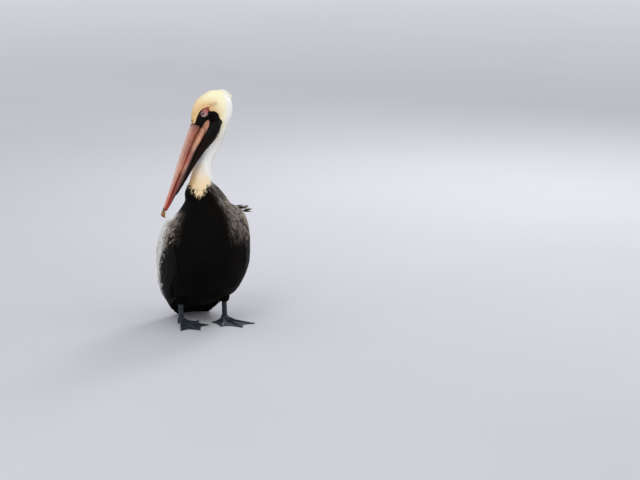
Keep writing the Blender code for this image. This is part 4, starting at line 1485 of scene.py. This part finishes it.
# %% Claws
CLAW_DARK, CLAW_PALE = ink("#1A1B1D"), ink("#3A3A3A")
claws = []
for side, sign in SIDES.items():
    for toe, length in zip(TOE_ANGLES, TOE_LENGTHS):
        turn = math.radians(toe + FOOT_TURN[side])
        along = Vector((sign * math.sin(turn), -math.cos(turn), 0))
        bpy.ops.object.select_all(action="DESELECT")
        bpy.ops.mesh.primitive_cone_add(vertices=14, radius1=0.0026, radius2=0.0003, depth=0.010)
        claw = bpy.context.object
        in_edit_mode(claw, None, lambda: bpy.ops.mesh.subdivide(number_cuts=4))
        local = read_points(claw) * 1000
        t = (local[:, 2] + 5) / 10
        forward = t * 8.5 - 3.0
        rise = local[:, 0] * 0.9 + 3.4 + 0.9 * np.sin(t * math.pi) - 2.7 * t ** 2
        aside = local[:, 1] * 0.8
        place = HOME * 1000 + ANKLE[side]
        points = (place + np.outer(forward + length, along) + np.outer(rise, (0, 0, 1))
                  + np.outer(aside, Vector((0, 0, 1)).cross(along)))
        points[:, 2] = np.maximum(points[:, 2], 0.05)
        write_points(claw, points / 1000)
        claws.append(claw)
bpy.ops.object.select_all(action="DESELECT")
for claw in claws:
    claw.select_set(True)
bpy.context.view_layer.objects.active = claws[0]
bpy.ops.object.join()
claws = claws[0]
claws.name = "claws"
in_edit_mode(claws, None, lambda: bpy.ops.mesh.normals_make_consistent(inside=False))
claws.data.shade_smooth()
paint(claws, mix(CLAW_DARK, CLAW_PALE, smooth(read_points(claws)[:, 2] * 1000, 1, 5)))
print("claws", triangles(claws), "triangles")

# %% [markdown]
# The skin of the leg is dull and tough like old leather, and covered in small scales about
# 1.6 mm across with darker lines between them. The claws are horn, as the bill is, so they
# take its finish.

# %% Leg and claw materials
leather, tree, shader = new_material("scaly_leg_skin", {
    "Roughness": 0.55, "Specular IOR Level": 0.2})
where = add_node(tree, "ShaderNodeTexCoord")
tint = add_node(tree, "ShaderNodeAttribute", {"attribute_name": "tint"})
scales = add_node(tree, "ShaderNodeTexVoronoi", {"Scale": 620.0, "feature": "DISTANCE_TO_EDGE"},
                  {"Vector": where.outputs["Object"]})
edge = add_node(tree, "ShaderNodeMapRange", {"From Max": 0.12, "To Min": 0.55, "To Max": 1.08},
                {"Value": scales.outputs["Distance"]})
tinted = add_node(tree, "ShaderNodeVectorMath", {"operation": "SCALE"},
                  {0: tint.outputs["Color"], "Scale": edge.outputs["Result"]})
bump = add_node(tree, "ShaderNodeBump", {"Strength": 0.5, "Distance": 0.0003},
                {"Height": edge.outputs["Result"]})
tree.links.new(tinted.outputs["Vector"], shader.inputs["Base Color"])
tree.links.new(bump.outputs["Normal"], shader.inputs["Normal"])
for side, leg in legs.items():
    leg.data.materials.append(leather)
    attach(leg, "root")
    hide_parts("tarsus_" + side, "foot_" + side)
claws.data.materials.append(horn)
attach(claws, "root")

# %% [markdown]
# ## Loose feathers
# A few plumes never lie down: a small crest at the nape, and a wind-blown tuft of dark
# scapulars that sticks out behind the left shoulder, brown with pale tips.


# %% A tuft that stands off the body
def loose_tuft(name, roots, heading, spread, length, width, colours, curl, seed):
    draw = np.random.default_rng(seed)
    count, steps = len(roots), 4
    runs = unit(np.array(heading) + draw.normal(0, spread, (count, 3)))
    lengths = length * draw.uniform(0.75, 1.15, count)
    shares = np.linspace(0, 1, steps + 1)
    sag = np.outer(lengths, shares ** 2)[:, :, None] * np.array(curl)
    out = runs[:, None] * (lengths[:, None] * shares)[:, :, None]
    lines = roots[:, None] + (out + sag) / 1000
    ups = unit(np.cross(np.cross(runs, (0.3, -0.4, 1.0)), runs))
    ups = np.broadcast_to(ups[:, None], lines.shape) + 0.25 * draw.normal(size=(count, 1, 3))
    piece = lay_feathers(name, lines, ups, width, CONTOUR, colours,
                         draw.uniform(0.05, 0.95, (count, 2)), droop=0.12,
                         island_size=(0.02, 0.04))
    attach(piece, "root")
    print(name, triangles(piece), "triangles")
    return piece


# %% Plant the crest and the tuft
crest_roots = np.array([head_spot(-116 + dx, -64 + dy, dl) for dx, dy, dl in
                        np.random.default_rng(5).uniform((-8, -24, -12), (9, 15, 12), (70, 3))])
crest_roots = np.array([onto_guide(place)[0] for place in crest_roots.tolist()])
crest = loose_tuft("crest", crest_roots, -AHEAD * 0.85 - UP * 0.42, 0.26, 9, 1.4,
                   (WHITE, CROWN, WHITE), AHEAD * 0.10 - UP * 0.15, 71)
crest.data.materials.append(PLUSH)
TUFT_SHAFT, TUFT_VANE, TUFT_TIP = ink("#1C1613"), ink("#2E2520"), ink("#85786C")
tuft_roots = HOME + np.random.default_rng(6).uniform((96, -28, 326), (108, 0, 343), (16, 3)) / 1000
tuft_roots = np.array([onto_guide(place)[0] for place in tuft_roots.tolist()])
tuft = loose_tuft("shoulder_tuft", tuft_roots, (0.92, 0.1, 0.12), 0.12, 27, 5.4,
                  (TUFT_SHAFT, TUFT_VANE, TUFT_TIP), (0, 0.05, -0.10), 72)
tuft.data.materials.append(BODY_PLUMES)

# %% [markdown]
# ## Floor and light
# A plain pale matt floor reaches past the view on every side, a little cloudy. It is painted
# darker near the bird, where the lamps are strong, and brighter far away, where they reach
# less: painted light and shade that makes it look evenly lit. A large soft light stands high
# at the front left, a weak one fills the right, a strong one behind on the right puts a rim of
# light on the plumes, and a pale world lifts the shadows as an overcast sky would.

# %% Floor
# Painted light: the floor is darker near the bird and brighter far off, to even out the lamps.
FLOOR_NEAR, FLOOR_FAR = ink("#B6B6BA"), ink("#E4E4E8")
BRIGHTENS = {"From Min": 3.2, "From Max": 10.0}  # metres from the bird
bpy.ops.object.select_all(action="DESELECT")
bpy.ops.mesh.primitive_circle_add(vertices=96, radius=14, fill_type="NGON", location=(0, 0, 0))
floor = bpy.context.object
floor.name = "floor"
floor_finish, tree, shader = new_material("pale_matt_studio_floor", {
    "Roughness": 0.85, "Specular IOR Level": 0.1})
where = add_node(tree, "ShaderNodeTexCoord")
cloud = add_node(tree, "ShaderNodeTexNoise", {"Scale": 1.2, "Detail": 3.0},
                 {"Vector": where.outputs["Object"]})
far_off = add_node(tree, "ShaderNodeVectorMath", {"operation": "LENGTH"},
                   {"Vector": where.outputs["Object"]})
faded = add_node(tree, "ShaderNodeMapRange", BRIGHTENS, {"Value": far_off.outputs["Value"]})
patchy = add_node(tree, "ShaderNodeMath", {"operation": "MULTIPLY_ADD", 1: 0.12},
                  {0: cloud.outputs["Fac"], 2: faded.outputs["Result"]})
# A mix of colours has its two colours in sockets 6 and 7, and its result in output 2.
tone = add_node(tree, "ShaderNodeMix", {"data_type": "RGBA", 6: (*FLOOR_NEAR, 1),
                                        7: (*FLOOR_FAR, 1)}, {0: patchy.outputs["Value"]})
tree.links.new(tone.outputs[2], shader.inputs["Base Color"])
floor.data.materials.append(floor_finish)


# %% Lights and world
def soft_light(name, place, size, power, target=(0, 0, 0.35)):
    bpy.ops.object.light_add(type="AREA", location=place)
    light = bpy.context.object
    light.name = name
    light.data.shape = "DISK"
    light.data.size = size
    light.data.energy = power
    light.rotation_euler = (Vector(target) - Vector(place)).to_track_quat("-Z", "Y").to_euler()


soft_light("key", (-1.6, -2.4, 3.0), size=1.8, power=42)
soft_light("fill", (2.6, -1.2, 1.6), size=1.6, power=9)
soft_light("back", (2.2, 2.2, 2.2), size=1.2, power=52)
world = bpy.data.worlds.new("overcast")
bpy.context.scene.world = world
world.use_nodes = True
sky = world.node_tree.nodes["Background"]
sky.inputs["Color"].default_value = (*ink("#E6E8EC"), 1)
sky.inputs["Strength"].default_value = 1.1
bpy.context.scene.view_settings.view_transform = "Standard"

# %% Clear away the guide and finish
bpy.data.objects.remove(guide)
bpy.context.view_layer.update()
